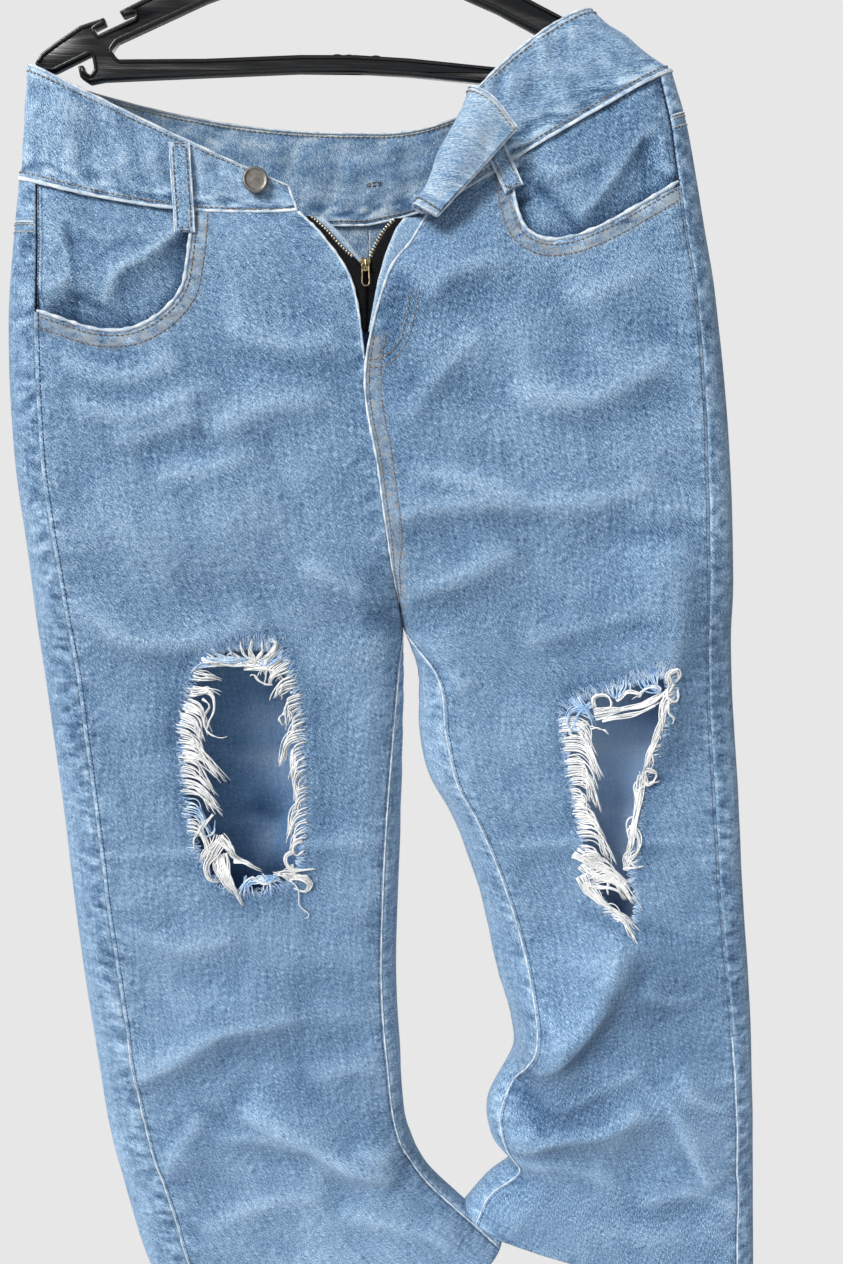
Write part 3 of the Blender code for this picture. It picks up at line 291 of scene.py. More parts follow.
# The fly: at each height the x of the free edges of what is sewn behind the two fronts.
Fly = namedtuple("Fly", "z shield left_tape right_tape facing")
FLY = [Fly(*row) for row in (
    (-224.5, -25, -32, 25, 31),
    (-232, -16, -23, 17.5, 25),
    (-243, -6, -13, 10.4, 20),
    (-250, -1, -5.4, 7.2, 17),
    (-254, 3, -0.2, 6.6, 15.8),
    (-260, 9, 3.4, 3.9, 14),
    (-266, 12, 4.4, 3.2, 12),
    (-280, 12, 4.2, 3.0, 9),
    (-300, 11, 3.2, 2.0, 5),
)]
RISE_START, RISE_END = 118.0, 312.0                 # drops where the front's centre seam starts and ends
MOUTH_STRIP = 12.0                                  # width of the sewn strip along a pocket's mouth
TUCKED = 12.0                                       # how far a strip runs on behind its front
FACING_LAYER, TAPE_LAYER, SHIELD_LAYER = 0.5, 2.3, 3.8      # how far each lies behind the fronts
SLIDER = (3.75, -29.4, -256.0)
TAB_PIVOT = (3.75, -32.6065, -254.9508)
SLIDER_LEAN = -0.1974
BUTTON = (-69.0, -203.0)                            # x and z of its middle
LOOP_WIDTH, LOOP_LIFT = 13.0, 2.2
Loop = namedtuple("Loop", "name face top bottom")
LOOPS = [
    Loop("belt_loop_front_left", "left front", (-118, -180), (-117, -237)),
    Loop("belt_loop_front_right", "right front", (87, -168), (106, -207)),
    Loop("belt_loop_back_left", "left back", (-124, -159), (-130, -224)),
    Loop("belt_loop_back_centre", "left back", (8, -168), (8, -232)),
    Loop("belt_loop_back_right", "right back", (101, -145), (128, -198)),
]
BACK_POCKETS = {"left": (-108.0, -298.0, -2.0), "right": (122.0, -286.0, 5.0)}   # x, z of the top, lean
POCKET_WIDTH, POCKET_HEIGHT, POCKET_POINT, POCKET_TAPER = 138.0, 150.0, 18.0, 0.86


# ---------------------------------------------------------------- the surface of a leg
def smooth(at, knots, values):
    """Cubic curve through (knots, values): at each knot it has the slope of its neighbours' parabola."""
    slopes = np.gradient(values, knots)
    i = np.clip(np.searchsorted(knots, at, side="right") - 1, 0, len(knots) - 2)
    span = knots[i + 1] - knots[i]
    t = (at - knots[i]) / span
    return ((2 * t ** 3 - 3 * t ** 2 + 1) * values[i] + (t ** 3 - 2 * t ** 2 + t) * span * slopes[i]
            + (3 * t ** 2 - 2 * t ** 3) * values[i + 1] + (t ** 3 - t ** 2) * span * slopes[i + 1])


def run_along(path):
    """How far along a line of points each of them is."""
    return np.concatenate(([0], np.cumsum(np.linalg.norm(np.diff(path, axis=0), axis=1))))


def points_at(at, run, path):
    """The points of a line, or values given along it, that lie at other distances."""
    return np.stack([np.interp(at, run, column) for column in np.asarray(path).T], axis=-1)


def smooth_path(path, count, closed=False):
    """Points evenly along a smooth curve through the path, a point being a row of any length."""
    path = np.array(path, float)
    if closed:
        path = np.concatenate([path[-3:], path, path[:4]])
    knots = run_along(path)
    first, last = (knots[3], knots[-4]) if closed else (knots[0], knots[-1])
    fine = np.linspace(first, last, 8 * count)
    curve = np.stack([smooth(fine, knots, column) for column in path.T], axis=-1)
    run = run_along(curve)
    return points_at(np.linspace(0, run[-1], count, endpoint=not closed), run, curve)


def length_of(path):
    """Length of a line of points."""
    return np.linalg.norm(np.diff(path, axis=0), axis=1).sum()


def share_across(turn):
    """Share of the way from the side fold (0) to the inner end (1), closer set at both ends."""
    turn = np.abs(turn)
    return EVEN_SHARE * turn / math.pi + (1 - EVEN_SHARE) * (1 - np.cos(turn)) / 2


def turn_at(share):
    """The turn at a share of the way across: share_across the other way round."""
    turns = np.linspace(0, math.pi, 400)
    return np.interp(share, share_across(turns), turns)


def quarter_round(share):
    """Quarter of a circle: 0 at the edge, 1 from the end of the rounding on."""
    return np.sqrt(np.clip(1 - (1 - np.clip(share, 0, 1)) ** 2, 0, 1))


def fold_height(fold, x, z):
    """Lift of the points (x, z): height times exp(-(distance / width) ^ (2 - crisp)) across the
    path, and 1 - (2 run - 1) ^ 4 along it."""
    path = smooth_path(fold.path, 14)
    steps = np.diff(path, axis=0)
    lengths = np.hypot(*steps.T)
    before = np.concatenate(([0], np.cumsum(lengths)))
    nearest, lift = np.full(x.shape, np.inf), np.zeros(x.shape)
    for start, step, length, run in zip(path, steps, lengths, before):
        off_x, off_z = x - start[0], z - start[1]
        along = np.clip((off_x * step[0] + off_z * step[1]) / length ** 2, 0, 1)
        away = np.hypot(off_x - along * step[0], off_z - along * step[1])
        on_left = step[0] * off_z - step[1] * off_x > 0
        bell = np.exp(-(away / np.where(on_left, fold.left, fold.right)) ** (2 - fold.crisp))
        fade = 1 - (2 * (run + along * length) / before[-1] - 1) ** FOLD_EXPONENT
        lift = np.where(away < nearest, fold.height * fade * bell, lift)
        nearest = np.minimum(nearest, away)
    return lift


def ripple(x, z, size, seed):
    """Low unevenness between about -1 and 1: seven sine waves of nearly one length, each its own way."""
    rng = np.random.default_rng(seed)
    total = np.zeros(np.shape(x))
    for _ in range(7):
        way, length, phase = rng.uniform(0, math.pi), size * rng.uniform(0.7, 1.7), rng.uniform(0, 6.28)
        total = total + np.sin((x * math.cos(way) + z * math.sin(way)) * 2 * math.pi / length + phase)
    return total / 3.5


def unit(vectors):
    """Vectors of length one."""
    return vectors / np.maximum(np.linalg.norm(vectors, axis=-1, keepdims=True), 1e-9)


STEP_DOWN, STEP_ROUND = 0.8, 0.004                  # how far apart the points of a slope lie
SEAM_HEIGHT = 220.0                                 # mm that the waist seam hangs below the hook
TRIES = 16                                          # steps of Newton's method


class Tube:
    """One side of the jeans, a leg and its half of the hips and band, as a surface."""

    def __init__(self, name, table, top, hand):
        self.name, self.top, self.hand = name, top, hand
        self.columns = np.array(table, float).T
        self.last = self.columns[0, -1]
        creases = [crease._replace(height=crease.height * CREASE_GAIN, crisp=min(crease.crisp + CRISPER, 0.9))
                   for crease in CREASES]
        self.folds = [fold for fold in FOLDS + creases if fold.face.startswith(name)]

    def ring(self, sec, turn, rounding):
        """A section's outer face: x and z run straight from fold to inner end, y stands off it by
        the depth times a quarter circle at each end, and the whole turns a little with x."""
        turn = np.where(turn < -math.pi, turn + 2 * math.pi, turn)
        front = turn >= 0
        share = share_across(turn)
        inner_x, inner_z = np.where(front, sec.fx, sec.bx), np.where(front, sec.fz, sec.bz)
        width = np.hypot(inner_x - sec.ox, inner_z - sec.oz)
        x = sec.ox + (inner_x - sec.ox) * share - self.hand * SEAM_GAP / 2 * share
        z = sec.oz + (inner_z - sec.oz) * share + np.where(front, sec.bow, sec.sag) * 4 * share * (1 - share)
        side, centre = quarter_round(share * width / rounding), quarter_round((1 - share) * width / rounding)
        shut = np.clip(sec.shut, 0, 1)
        crown = 1 - CROWN * ((1 - shut) * (1 - share) ** 2 + shut * (2 * share - 1) ** 2)
        stand = side * (1 - shut + shut * centre) * crown
        y = np.where(front, -sec.deep_f, sec.deep_b) * stand - TWIST * x * np.clip(sec.drop / HEM_DROP, 0, 1)
        return np.stack([x, y, z], axis=-1), front, stand

    def at(self, drop, round_, folded=True):
        """Points at drop and round; above the seam the band runs straight up to its top edge."""
        drop, round_ = np.broadcast_arrays(np.asarray(drop, float), np.asarray(round_, float))
        below = np.clip(drop, 0, self.last)
        sec = Section(*[smooth(below, self.columns[0], column) for column in self.columns])
        width = np.hypot(sec.fx - sec.ox, sec.fz - sec.oz)
        turn_in, turn_out = turn_at(1 - sec.inner / width), turn_at(sec.side / width)
        across, strip, back = (np.clip(round_ - start, 0, 1) for start in (0, 1, 2))
        turn = (1 - across + back) * turn_in + across * (1 - strip) * turn_out - 2 * math.pi * back
        points, front, stand = self.ring(sec, turn, SIDE_ROUND)
        if folded:
            lift = self.relief(points[..., 0], points[..., 2], front) * stand
            points[..., 1] += np.where(front, -lift, lift)
        if (drop < 0).any():
            edge, _, _ = self.ring(self.top, turn, BAND_ROUND)
            up = np.clip(-drop / BAND_HEIGHT, 0, 1)[..., None]
            points = edge * up + points * (1 - up)
        return points

    def relief(self, x, z, front):
        """How far folds, creases and the cloth's own unevenness stand out at (x, z)."""
        lift = np.zeros(x.shape)
        for fold in self.folds:
            facing = front if fold.face.endswith("front") else ~front
            lift += fold_height(fold, x, z) * facing
        for seed, (size, height) in enumerate(UNEVEN):
            lift += height * ripple(x + np.where(front, 0, 400), z, size, seed + 3)
        return lift

    def frame_at(self, drop, round_, folded=True):
        """Points, unit steps down and round, and outward normals."""
        points = self.at(drop, round_, folded)
        down = self.at(np.asarray(drop) + STEP_DOWN, round_, folded) - points
        aside = np.where(np.asarray(round_) > 1.5, -STEP_ROUND, STEP_ROUND)
        around = (self.at(drop, np.asarray(round_) + aside, folded) - points) * np.sign(aside)[..., None]
        return points, unit(down), unit(around), unit(np.cross(around, down)) * self.hand

    def find(self, x, z, face="front"):
        """Drop and round of the points over (x, z), by Newton's method."""
        x, z = np.asarray(x, float), np.asarray(z, float)
        low, high, middle = (0.0, 1.99, 0.5) if face == "front" else (2.0, 3.0, 2.5)
        drop, round_ = -z - SEAM_HEIGHT, np.full(x.shape, middle)
        step = STEP_ROUND if face == "front" else -STEP_ROUND
        for _ in range(TRIES):
            points = self.at(drop, round_, False)
            down = self.at(drop + 1, round_, False) - points
            around = (self.at(drop, round_ + step, False) - points) / step
            off_x, off_z = x - points[..., 0], z - points[..., 2]
            size = down[..., 0] * around[..., 2] - down[..., 2] * around[..., 0]
            size = np.where(np.abs(size) < 1e-6, 1e-6, size)
            move = (off_x * around[..., 2] - off_z * around[..., 0]) / size
            turn = (down[..., 0] * off_z - down[..., 2] * off_x) / size
            drop = np.clip(drop + np.clip(move, -60, 60), -BAND_HEIGHT, self.last)
            round_ = np.clip(round_ + np.clip(turn, -0.4, 0.4), low, high)
        return drop, round_

    def beside(self, drop, round_, offset):
        """The round that lies offset mm further round at each drop."""
        aside = np.where((np.asarray(offset) < 0) | (np.asarray(round_) > 2.9), -0.01, 0.01)
        step = self.at(drop, round_ + aside, False) - self.at(drop, round_, False)
        return round_ + offset / (np.linalg.norm(step, axis=-1) / 0.01)


TUBES = {name: Tube(name, *given) for name, given in SIDES.items()}


# ---------------------------------------------------------------- meshes
def quads(rows, columns, flip=False, around=False):
    """Corner numbers of the squares of a grid; around joins its last column to its first."""
    number = np.arange(rows * columns).reshape(rows, columns)
    if around:
        number = np.concatenate([number, number[:, :1]], axis=1)
    corners = np.stack([number[:-1, :-1], number[1:, :-1], number[1:, 1:], number[:-1, 1:]], axis=-1)
    corners = corners.reshape(-1, 4)
    return corners[:, ::-1] if flip else corners


def piece(name, points, faces, finishes, slot, replaces=(), body=JEANS, uv=None, marks=None):
    """Make an object of points in mm and lists of equal-sided faces, with one or more finishes, parent it to
    its body's empty and hide the parts it replaces."""
    mesh = bpy.data.meshes.new(name)
    places = np.asarray(points, float).reshape(-1, 3) * MM
    groups = faces if isinstance(faces, list) else [faces]
    corners = np.concatenate([group.ravel() for group in groups]).astype(np.int32)
    sizes = np.concatenate([np.full(len(group), group.shape[1]) for group in groups])
    mesh.vertices.add(len(places))
    mesh.vertices.foreach_set("co", places.ravel())
    mesh.loops.add(len(corners))
    mesh.loops.foreach_set("vertex_index", corners)
    mesh.polygons.add(len(sizes))
    mesh.polygons.foreach_set("loop_start", np.concatenate(([0], np.cumsum(sizes)[:-1])).astype(np.int32))
    mesh.polygons.foreach_set("use_smooth", np.ones(len(sizes), bool))
    if uv is not None:
        layer = mesh.uv_layers.new(name="cloth")
        layer.data.foreach_set("uv", (np.asarray(uv).reshape(-1, 2)[corners] * MM).ravel())
    for mark, values in (marks or {}).items():
        spread = mesh.attributes.new(mark, "FLOAT", "POINT")
        spread.data.foreach_set("value", np.asarray(values, np.float32).ravel())
    mesh.update(calc_edges=True)
    for finish in finishes.split():
        mesh.materials.append(material_of(finish))
    thing = bpy.data.objects.new(name, mesh)
    bpy.context.scene.collection.objects.link(thing)
    if body is not None:
        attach(thing, body)
    if replaces:
        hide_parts(*replaces)
    return thing


def thicken(thing, thickness, inside=0):
    """Give a cloth its thickness inwards; inside is the material slot of its wrong side."""
    wall = thing.modifiers.new("thickness", "SOLIDIFY")
    wall.thickness = thickness * MM
    wall.offset = -1.0
    wall.material_offset = inside
    wall.use_quality_normals = True


def soft_edges(thing, width, angle=30.0):
    """Round a hard piece's edges, and shade it smoothly between them."""
    bevel = thing.modifiers.new("rounded", "BEVEL")
    bevel.width = width * MM
    bevel.segments = 2
    bevel.limit_method = "ANGLE"
    bevel.angle_limit = math.radians(angle)
    bevel.harden_normals = True


def cloth_uv(points, hand):
    """Distances over the cloth in mm: along each row, and down the mean of its columns."""
    along = np.linalg.norm(np.diff(points, axis=1), axis=-1)
    down = np.linalg.norm(np.diff(points, axis=0), axis=-1).mean(axis=1)
    u = np.concatenate([np.zeros((len(points), 1)), np.cumsum(along, axis=1)], axis=1)
    v = np.concatenate(([0], np.cumsum(down)))
    return np.stack([-hand * u, np.broadcast_to(-v[:, None], u.shape)], axis=-1)


def blurred(values, reach, axes=(0, 1)):
    """Values averaged over a window of 2 reach + 1 along the axes."""
    for axis in axes:
        room = [(reach + 1, reach) if other == axis else (0, 0) for other in range(values.ndim)]
        padded = np.pad(values, room, mode="edge")
        summed = np.cumsum(padded, axis=axis)
        width = 2 * reach + 1
        ahead = np.take(summed, np.arange(width, summed.shape[axis]), axis=axis)
        behind = np.take(summed, np.arange(0, summed.shape[axis] - width), axis=axis)
        values = (ahead - behind) / width
    return values


def crest_wear_and_hollow_shade(points, normals, reach=4):
    """How far each point of a grid stands over its surroundings, in mm: crests rub pale, and hollows, below
    0, are given painted shade.
    """
    soft = np.stack([blurred(points[..., axis], reach) for axis in range(3)], axis=-1)
    return ((points - soft) * normals).sum(axis=-1)


def grid_normals(points, hand):
    """Unit outward normals of a grid whose rows run down and whose columns run round."""
    down, around = np.gradient(points, axis=0), np.gradient(points, axis=1)
    return unit(np.cross(around, down)) * hand


def inside_of(outline, x, z):
    """Which points (x, z) lie inside a closed outline: how often a ray to the right crosses it."""
    crossings = np.zeros(x.shape, int)
    for (x0, z0), (x1, z1) in zip(outline, np.roll(outline, -1, axis=0)):
        spans = (z0 > z) != (z1 > z)
        at = x0 + (z - z0) / (z1 - z0 if z1 != z0 else 1e-9) * (x1 - x0)
        crossings += spans & (x < at)
    return crossings % 2 == 1


def cut_out(points, faces, outline):
    """Drop the squares whose middle lies inside the outline and draw the new rim to it."""
    x, z = points[:, 0], points[:, 2]
    middle = points[faces].mean(axis=1)
    gone = inside_of(outline, middle[:, 0], middle[:, 2])
    rim = np.intersect1d(faces[gone], faces[~gone])
    line = np.concatenate([outline, outline[:1]])
    best, move = np.full(len(rim), np.inf), np.zeros((len(rim), 2))
    for (x0, z0), (x1, z1) in zip(line[:-1], line[1:]):
        run_x, run_z = x1 - x0, z1 - z0
        share = ((x[rim] - x0) * run_x + (z[rim] - z0) * run_z) / max(run_x ** 2 + run_z ** 2, 1e-9)
        share = np.clip(share, 0, 1)
        off_x, off_z = x0 + share * run_x - x[rim], z0 + share * run_z - z[rim]
        away = np.hypot(off_x, off_z)
        move[away < best] = np.stack([off_x, off_z], axis=-1)[away < best]
        best = np.minimum(best, away)
    points = points.copy()
    points[rim, 0] += move[:, 0]
    points[rim, 2] += move[:, 1]
    return points, faces[~gone]


def tubes_along(paths, radius, sides=6, closed=False, flat=1.0, normals=None):
    """Round cords along paths: paths is (cords, points, 3), radius a number or one per point.  Each
    ring is a circle across the path, squashed to flat along the normals that are given."""
    paths = np.asarray(paths, float)
    if paths.ndim == 2:
        paths = paths[None]
        normals = None if normals is None else np.asarray(normals)[None]
    cords, count = paths.shape[:2]
    if closed:
        ahead = unit(np.roll(paths, -1, axis=1) - np.roll(paths, 1, axis=1))
    else:
        ahead = unit(np.gradient(paths, axis=1))
    if normals is None:
        normals = np.where(np.abs(ahead[..., 1:2]) > 0.9, [1.0, 0, 0], [0, 1.0, 0])
    side = unit(np.cross(ahead, normals))
    up = np.cross(side, ahead)
    radius = np.broadcast_to(np.asarray(radius, float), (cords, count))[..., None, None]
    angle = np.arange(sides) / sides * 2 * math.pi
    ring = side[:, :, None] * np.cos(angle)[:, None] + up[:, :, None] * np.sin(angle)[:, None] * flat
    points = paths[:, :, None] + ring * radius
    number = np.arange(cords * count * sides).reshape(cords, count, sides)
    if closed:
        number = np.concatenate([number, number[:, :1]], axis=1)
    beside = np.roll(number, -1, axis=2)
    walls = np.stack([number[:, :-1], beside[:, :-1], beside[:, 1:], number[:, 1:]], axis=-1)
    groups = [walls.reshape(-1, 4)]
    if not closed:
        groups += [number[:, 0, ::-1].copy(), number[:, -1].copy()]
    return points.reshape(-1, 3), groups


def joined(parts):
    """Several (points, face groups) as one."""
    points, groups, base = [], [], 0
    for some, faces in parts:
        points.append(some)
        groups += [group + base for group in faces]
        base += len(some)
    return np.concatenate(points), groups


THREAD_RADIUS, STITCH_LIFT, STITCH_SINK = 0.42, 0.25, 0.35


def stitches(path, normals, length, gap):
    """Short thread capsules along a line that lies on the cloth: each rises between its ends."""
    run = run_along(path)
    count = max(int(run[-1] // (length + gap)), 1)
    start = (np.arange(count) + 0.5) * run[-1] / count
    along = np.array([-0.5, -0.3, 0.0, 0.3, 0.5]) * length
    rise = np.array([-STITCH_SINK, STITCH_LIFT, STITCH_LIFT + 0.15, STITCH_LIFT, -STITCH_SINK])
    at = np.clip(start[:, None] + along, 0, run[-1])
    up = unit(points_at(at, run, normals))
    return tubes_along(points_at(at, run, path) + up * rise[:, None], THREAD_RADIUS, sides=4, normals=up)


# ---------------------------------------------------------------- materials
def linear(colour):
    """An sRGB hex colour as linear RGBA."""
    channels = [int(colour[i:i + 2], 16) / 255 for i in (0, 2, 4)]
    return (*[c / 12.92 if c <= 0.04045 else ((c + 0.055) / 1.055) ** 2.4 for c in channels], 1.0)


def add(tree, kind, inputs=None, output=0, stops=(), **settings):
    """Add a node with its settings and give one of its outputs.  An input that is a socket is
    linked, any other is set; stops are the places and hex colours of a colour ramp."""
    node = tree.nodes.new(kind)
    for key, value in settings.items():
        setattr(node, key, value)
    for key, value in (inputs or {}).items():
        if isinstance(value, bpy.types.NodeSocket):
            tree.links.new(value, node.inputs[key])
        else:
            node.inputs[key].default_value = value
    if stops:
        elements = node.color_ramp.elements
        while len(elements) < len(stops):
            elements.new(0.5)
        for element, (place, colour) in zip(elements, stops):
            element.position = place
            element.color = linear(colour)
    return node.outputs[output] if len(node.outputs) else node


def new_material(name):
    """A material, its empty tree of nodes, and the place of each point on the object."""
    material = bpy.data.materials.new(name)
    material.use_nodes = True
    tree = material.node_tree
    tree.nodes.clear()
    return material, tree, add(tree, "ShaderNodeTexCoord", output="Object")


def finished(material, bump=None, **sockets):
    """Give a material its Principled shader, whose sockets are named with _ for a space; bump is
    a height, how many mm it stands for, and its strength."""
    tree = material.node_tree
    inputs = {key.replace("_", " "): value for key, value in sockets.items()}
    if bump:
        height, relief, strength = bump
        inputs["Normal"] = add(tree, "ShaderNodeBump", {"Height": height, "Distance": relief * MM,
                                                        "Strength": strength})
    add(tree, "ShaderNodeOutputMaterial", {"Surface": add(tree, "ShaderNodeBsdfPrincipled", inputs)})
    return material


def streaky(tree, where, across, along, angle, detail=2.0):
    """Noise drawn out along a line: across and along are its cell in mm, angle its turn in degrees."""
    placed = add(tree, "ShaderNodeMapping", {"Vector": where, "Rotation": (0, 0, math.radians(angle)),
                                             "Scale": (across * MM, along * MM, MM)}, vector_type="TEXTURE")
    return add(tree, "ShaderNodeTexNoise", {"Vector": placed, "Scale": 1.0, "Detail": detail,
                                            "Roughness": 0.55})


def blotches(tree, where, size, detail=2.0):
    """Round noise with cells of that many mm."""
    return add(tree, "ShaderNodeTexNoise", {"Vector": where, "Scale": 1 / (size * MM), "Detail": detail,
                                            "Roughness": 0.5})


def sum_of(tree, start, parts):
    """start plus the sum of (value - middle) * weight over parts (value, middle, weight)."""
    total = start
    for value, middle, weight in parts:
        scaled = add(tree, "ShaderNodeMath", {0: value, 1: weight, 2: -middle * weight},
                     operation="MULTIPLY_ADD")
        total = add(tree, "ShaderNodeMath", {0: total, 1: scaled}, operation="ADD")
    return total


def overlaid(tree, below, pattern, low, high, weight, colour):
    """A colour laid over another as a pattern rises from low to high, times a weight."""
    share = add(tree, "ShaderNodeMapRange", {"Value": pattern, "From Min": low, "From Max": high})
    share = add(tree, "ShaderNodeMath", {0: share, 1: weight}, operation="MULTIPLY")
    return add(tree, "ShaderNodeMix", {0: share, 6: below, 7: linear(colour)}, output=2, data_type="RGBA")


def denim(name, stops, slubs, contrast=1.0, twill=TWILL_ANGLE):
    """Cotton twill, indigo warp over white weft, stone washed: fine diagonal strokes, long warp
    streaks, white slubs where the weft shows, soft clouds from the wash, and blotches where the
    cloth puckers along its seams.  Real twill lines are 0.6 mm apart; they are drawn coarser."""
    material, tree, body = new_material(name)
    where = add(tree, "ShaderNodeUVMap", uv_map="cloth")
    worn, near_seam, grey_wear_and_fly_highlight = (add(tree, "ShaderNodeAttribute", output="Fac", attribute_name=key)
                               for key in ("worn", "pucker", "grey_wear_and_fly_highlight"))
    strokes = streaky(tree, where, 0.6, 4.5, twill, 1.5)
    grain = streaky(tree, where, 0.45, 0.9, twill, 0.0)
    cross = streaky(tree, where, 0.8, 2.6, twill + 62, 1.0)
    streaks = streaky(tree, where, 2.4, 60.0, 0, 2.0)
    waves = streaky(tree, where, 15.0, 7.5, 0, 1.5)
    waves = add(tree, "ShaderNodeMath", {0: waves, 1: -0.52}, operation="ADD")
    pucker = add(tree, "ShaderNodeMath", {0: near_seam, 1: waves}, operation="MULTIPLY")
    # the per-point wear mark brings real wear and also painted shade and painted light into the colour here
    value = sum_of(tree, 0.5, [
        (strokes, 0.5, 1.6 * contrast), (cross, 0.5, 0.4 * contrast), (streaks, 0.5, 0.3 * contrast),
        (grain, 0.5, 1.5 * contrast), (blotches(tree, body, 30.0, 1.0), 0.5, 0.16),
        (blotches(tree, body, 130.0), 0.5, 0.3), (worn, 0.0, 0.5), (pucker, 0.0, 1.5)])
    value = add(tree, "ShaderNodeMapRange", {"Value": value, "From Min": 0.0, "From Max": 1.0})
    colour = add(tree, "ShaderNodeValToRGB", {"Fac": value}, stops=stops)
    flecks = streaky(tree, where, 0.9, 5.0, twill - 6, 1.0)
    colour = overlaid(tree, colour, flecks, 0.66, 0.74, slubs, "d9e4ee")
    # grey: real wear along the pocket mouths, and a painted highlight along the fly's fold
    colour = overlaid(tree, colour, streaky(tree, where, 9.0, 6.0, 0), 0.36, 0.66, grey_wear_and_fly_highlight, "9ba3a8")
    height = sum_of(tree, 0.0, [(strokes, 0.5, 0.8), (cross, 0.5, 0.3), (pucker, 0.0, 5.0)])
    return finished(material, (height, 0.2, 0.8), Base_Color=colour, Roughness=0.88, Sheen_Weight=0.08,
                    Sheen_Roughness=0.6, Specular_IOR_Level=0.2)


def worn_cotton(name, stops, size=(1.2, 5.0)):
    """Cotton thread or a rubbed edge: colour that wanders along it in short patches."""
    material, tree, body = new_material(name)
    value = sum_of(tree, 0.5, [(blotches(tree, body, size[0]), 0.5, 0.9),
                               (blotches(tree, body, size[1]), 0.5, 1.4)])
    colour = add(tree, "ShaderNodeValToRGB", {"Fac": value}, stops=stops)
    return finished(material, (blotches(tree, body, 0.8, 1.0), 0.2, 0.6), Base_Color=colour, Roughness=0.92,
                    Sheen_Weight=0.12, Specular_IOR_Level=0.2)


def cast_metal(name, low, high, roughness):
    """Die-cast zinc with a plated or blasted skin: faint patches of handling wear."""
    material, tree, body = new_material(name)
    patches = blotches(tree, body, 3.0, 4.0)
    colour = add(tree, "ShaderNodeValToRGB", {"Fac": patches}, stops=[(0.3, low), (0.7, high)])
    rough = add(tree, "ShaderNodeMapRange", {"Value": patches, "From Min": 0.3, "From Max": 0.7,
                                             "To Min": roughness + 0.08, "To Max": roughness - 0.08})
    return finished(material, (blotches(tree, body, 0.5, 3.0), 0.05, 0.5), Base_Color=colour, Roughness=rough,
                    Metallic=1.0)


def moulded_plastic(name, colour, scuffed):
    """Polypropylene from a polished mould: glossy black with soft flow marks and light scuffs."""
    material, tree, body = new_material(name)
    flow = streaky(tree, body, 30.0, 9.0, 0)
    colour = overlaid(tree, linear(colour), streaky(tree, body, 0.7, 14.0, 70), 0.68, 0.75, 1.0, scuffed)
    rough = add(tree, "ShaderNodeMapRange", {"Value": flow, "From Min": 0.3, "From Max": 0.7,
                                             "To Min": 0.22, "To Max": 0.36})
    return finished(material, (flow, 0.4, 0.3), Base_Color=colour, Roughness=rough, IOR=1.49,
                    Coat_Weight=0.15, Coat_Roughness=0.2)


def woven_tape(name):
    """Black polyester zip tape: a fine herringbone, drawn 1.2 mm wide so that it shows."""
    material, tree, body = new_material(name)
    ribs = streaky(tree, body, 1.2, 1.2, 45, 1.0)
    colour = add(tree, "ShaderNodeValToRGB", {"Fac": ribs}, stops=[(0.35, "060607"), (0.7, "17181b")])
    return finished(material, (ribs, 0.2, 0.7), Base_Color=colour, Roughness=0.85, Specular_IOR_Level=0.15)


def painted_floor(name):
    """A matt painted floor: a pale even grey with the faintest rolled texture."""
    material, tree, body = new_material(name)
    colour = add(tree, "ShaderNodeValToRGB", {"Fac": blotches(tree, body, 260.0)},
                 stops=[(0.3, "e2e2e2"), (0.7, "e8e8e8")])
    return finished(material, Base_Color=colour, Roughness=0.9, Specular_IOR_Level=0.1)


OUTSIDE = [(0.0, "1e3a5c"), (0.3, "4a6a8d"), (0.5, "6a8bab"), (0.72, "88acd0"), (1.0, "c8dcec")]
WRONG_SIDE = [(0.0, "45688f"), (0.35, "7494b4"), (0.6, "90afca"), (1.0, "d3dee7")]
# The leg's inner face in two copies: SHADED, with painted shade, inside the fronts and the left back, and a
# paler one with painted light inside the right back, seen lit through the right rip.
SHADED = [(0.0, "3c608a"), (0.4, "6690bb"), (0.7, "86addb"), (1.0, "bcd4ea")]
PAINTED_LIGHT_INSIDE = [(0.0, "7ea6d4"), (0.4, "a6cbf2"), (0.7, "bddcfb"), (1.0, "e4f1ff")]
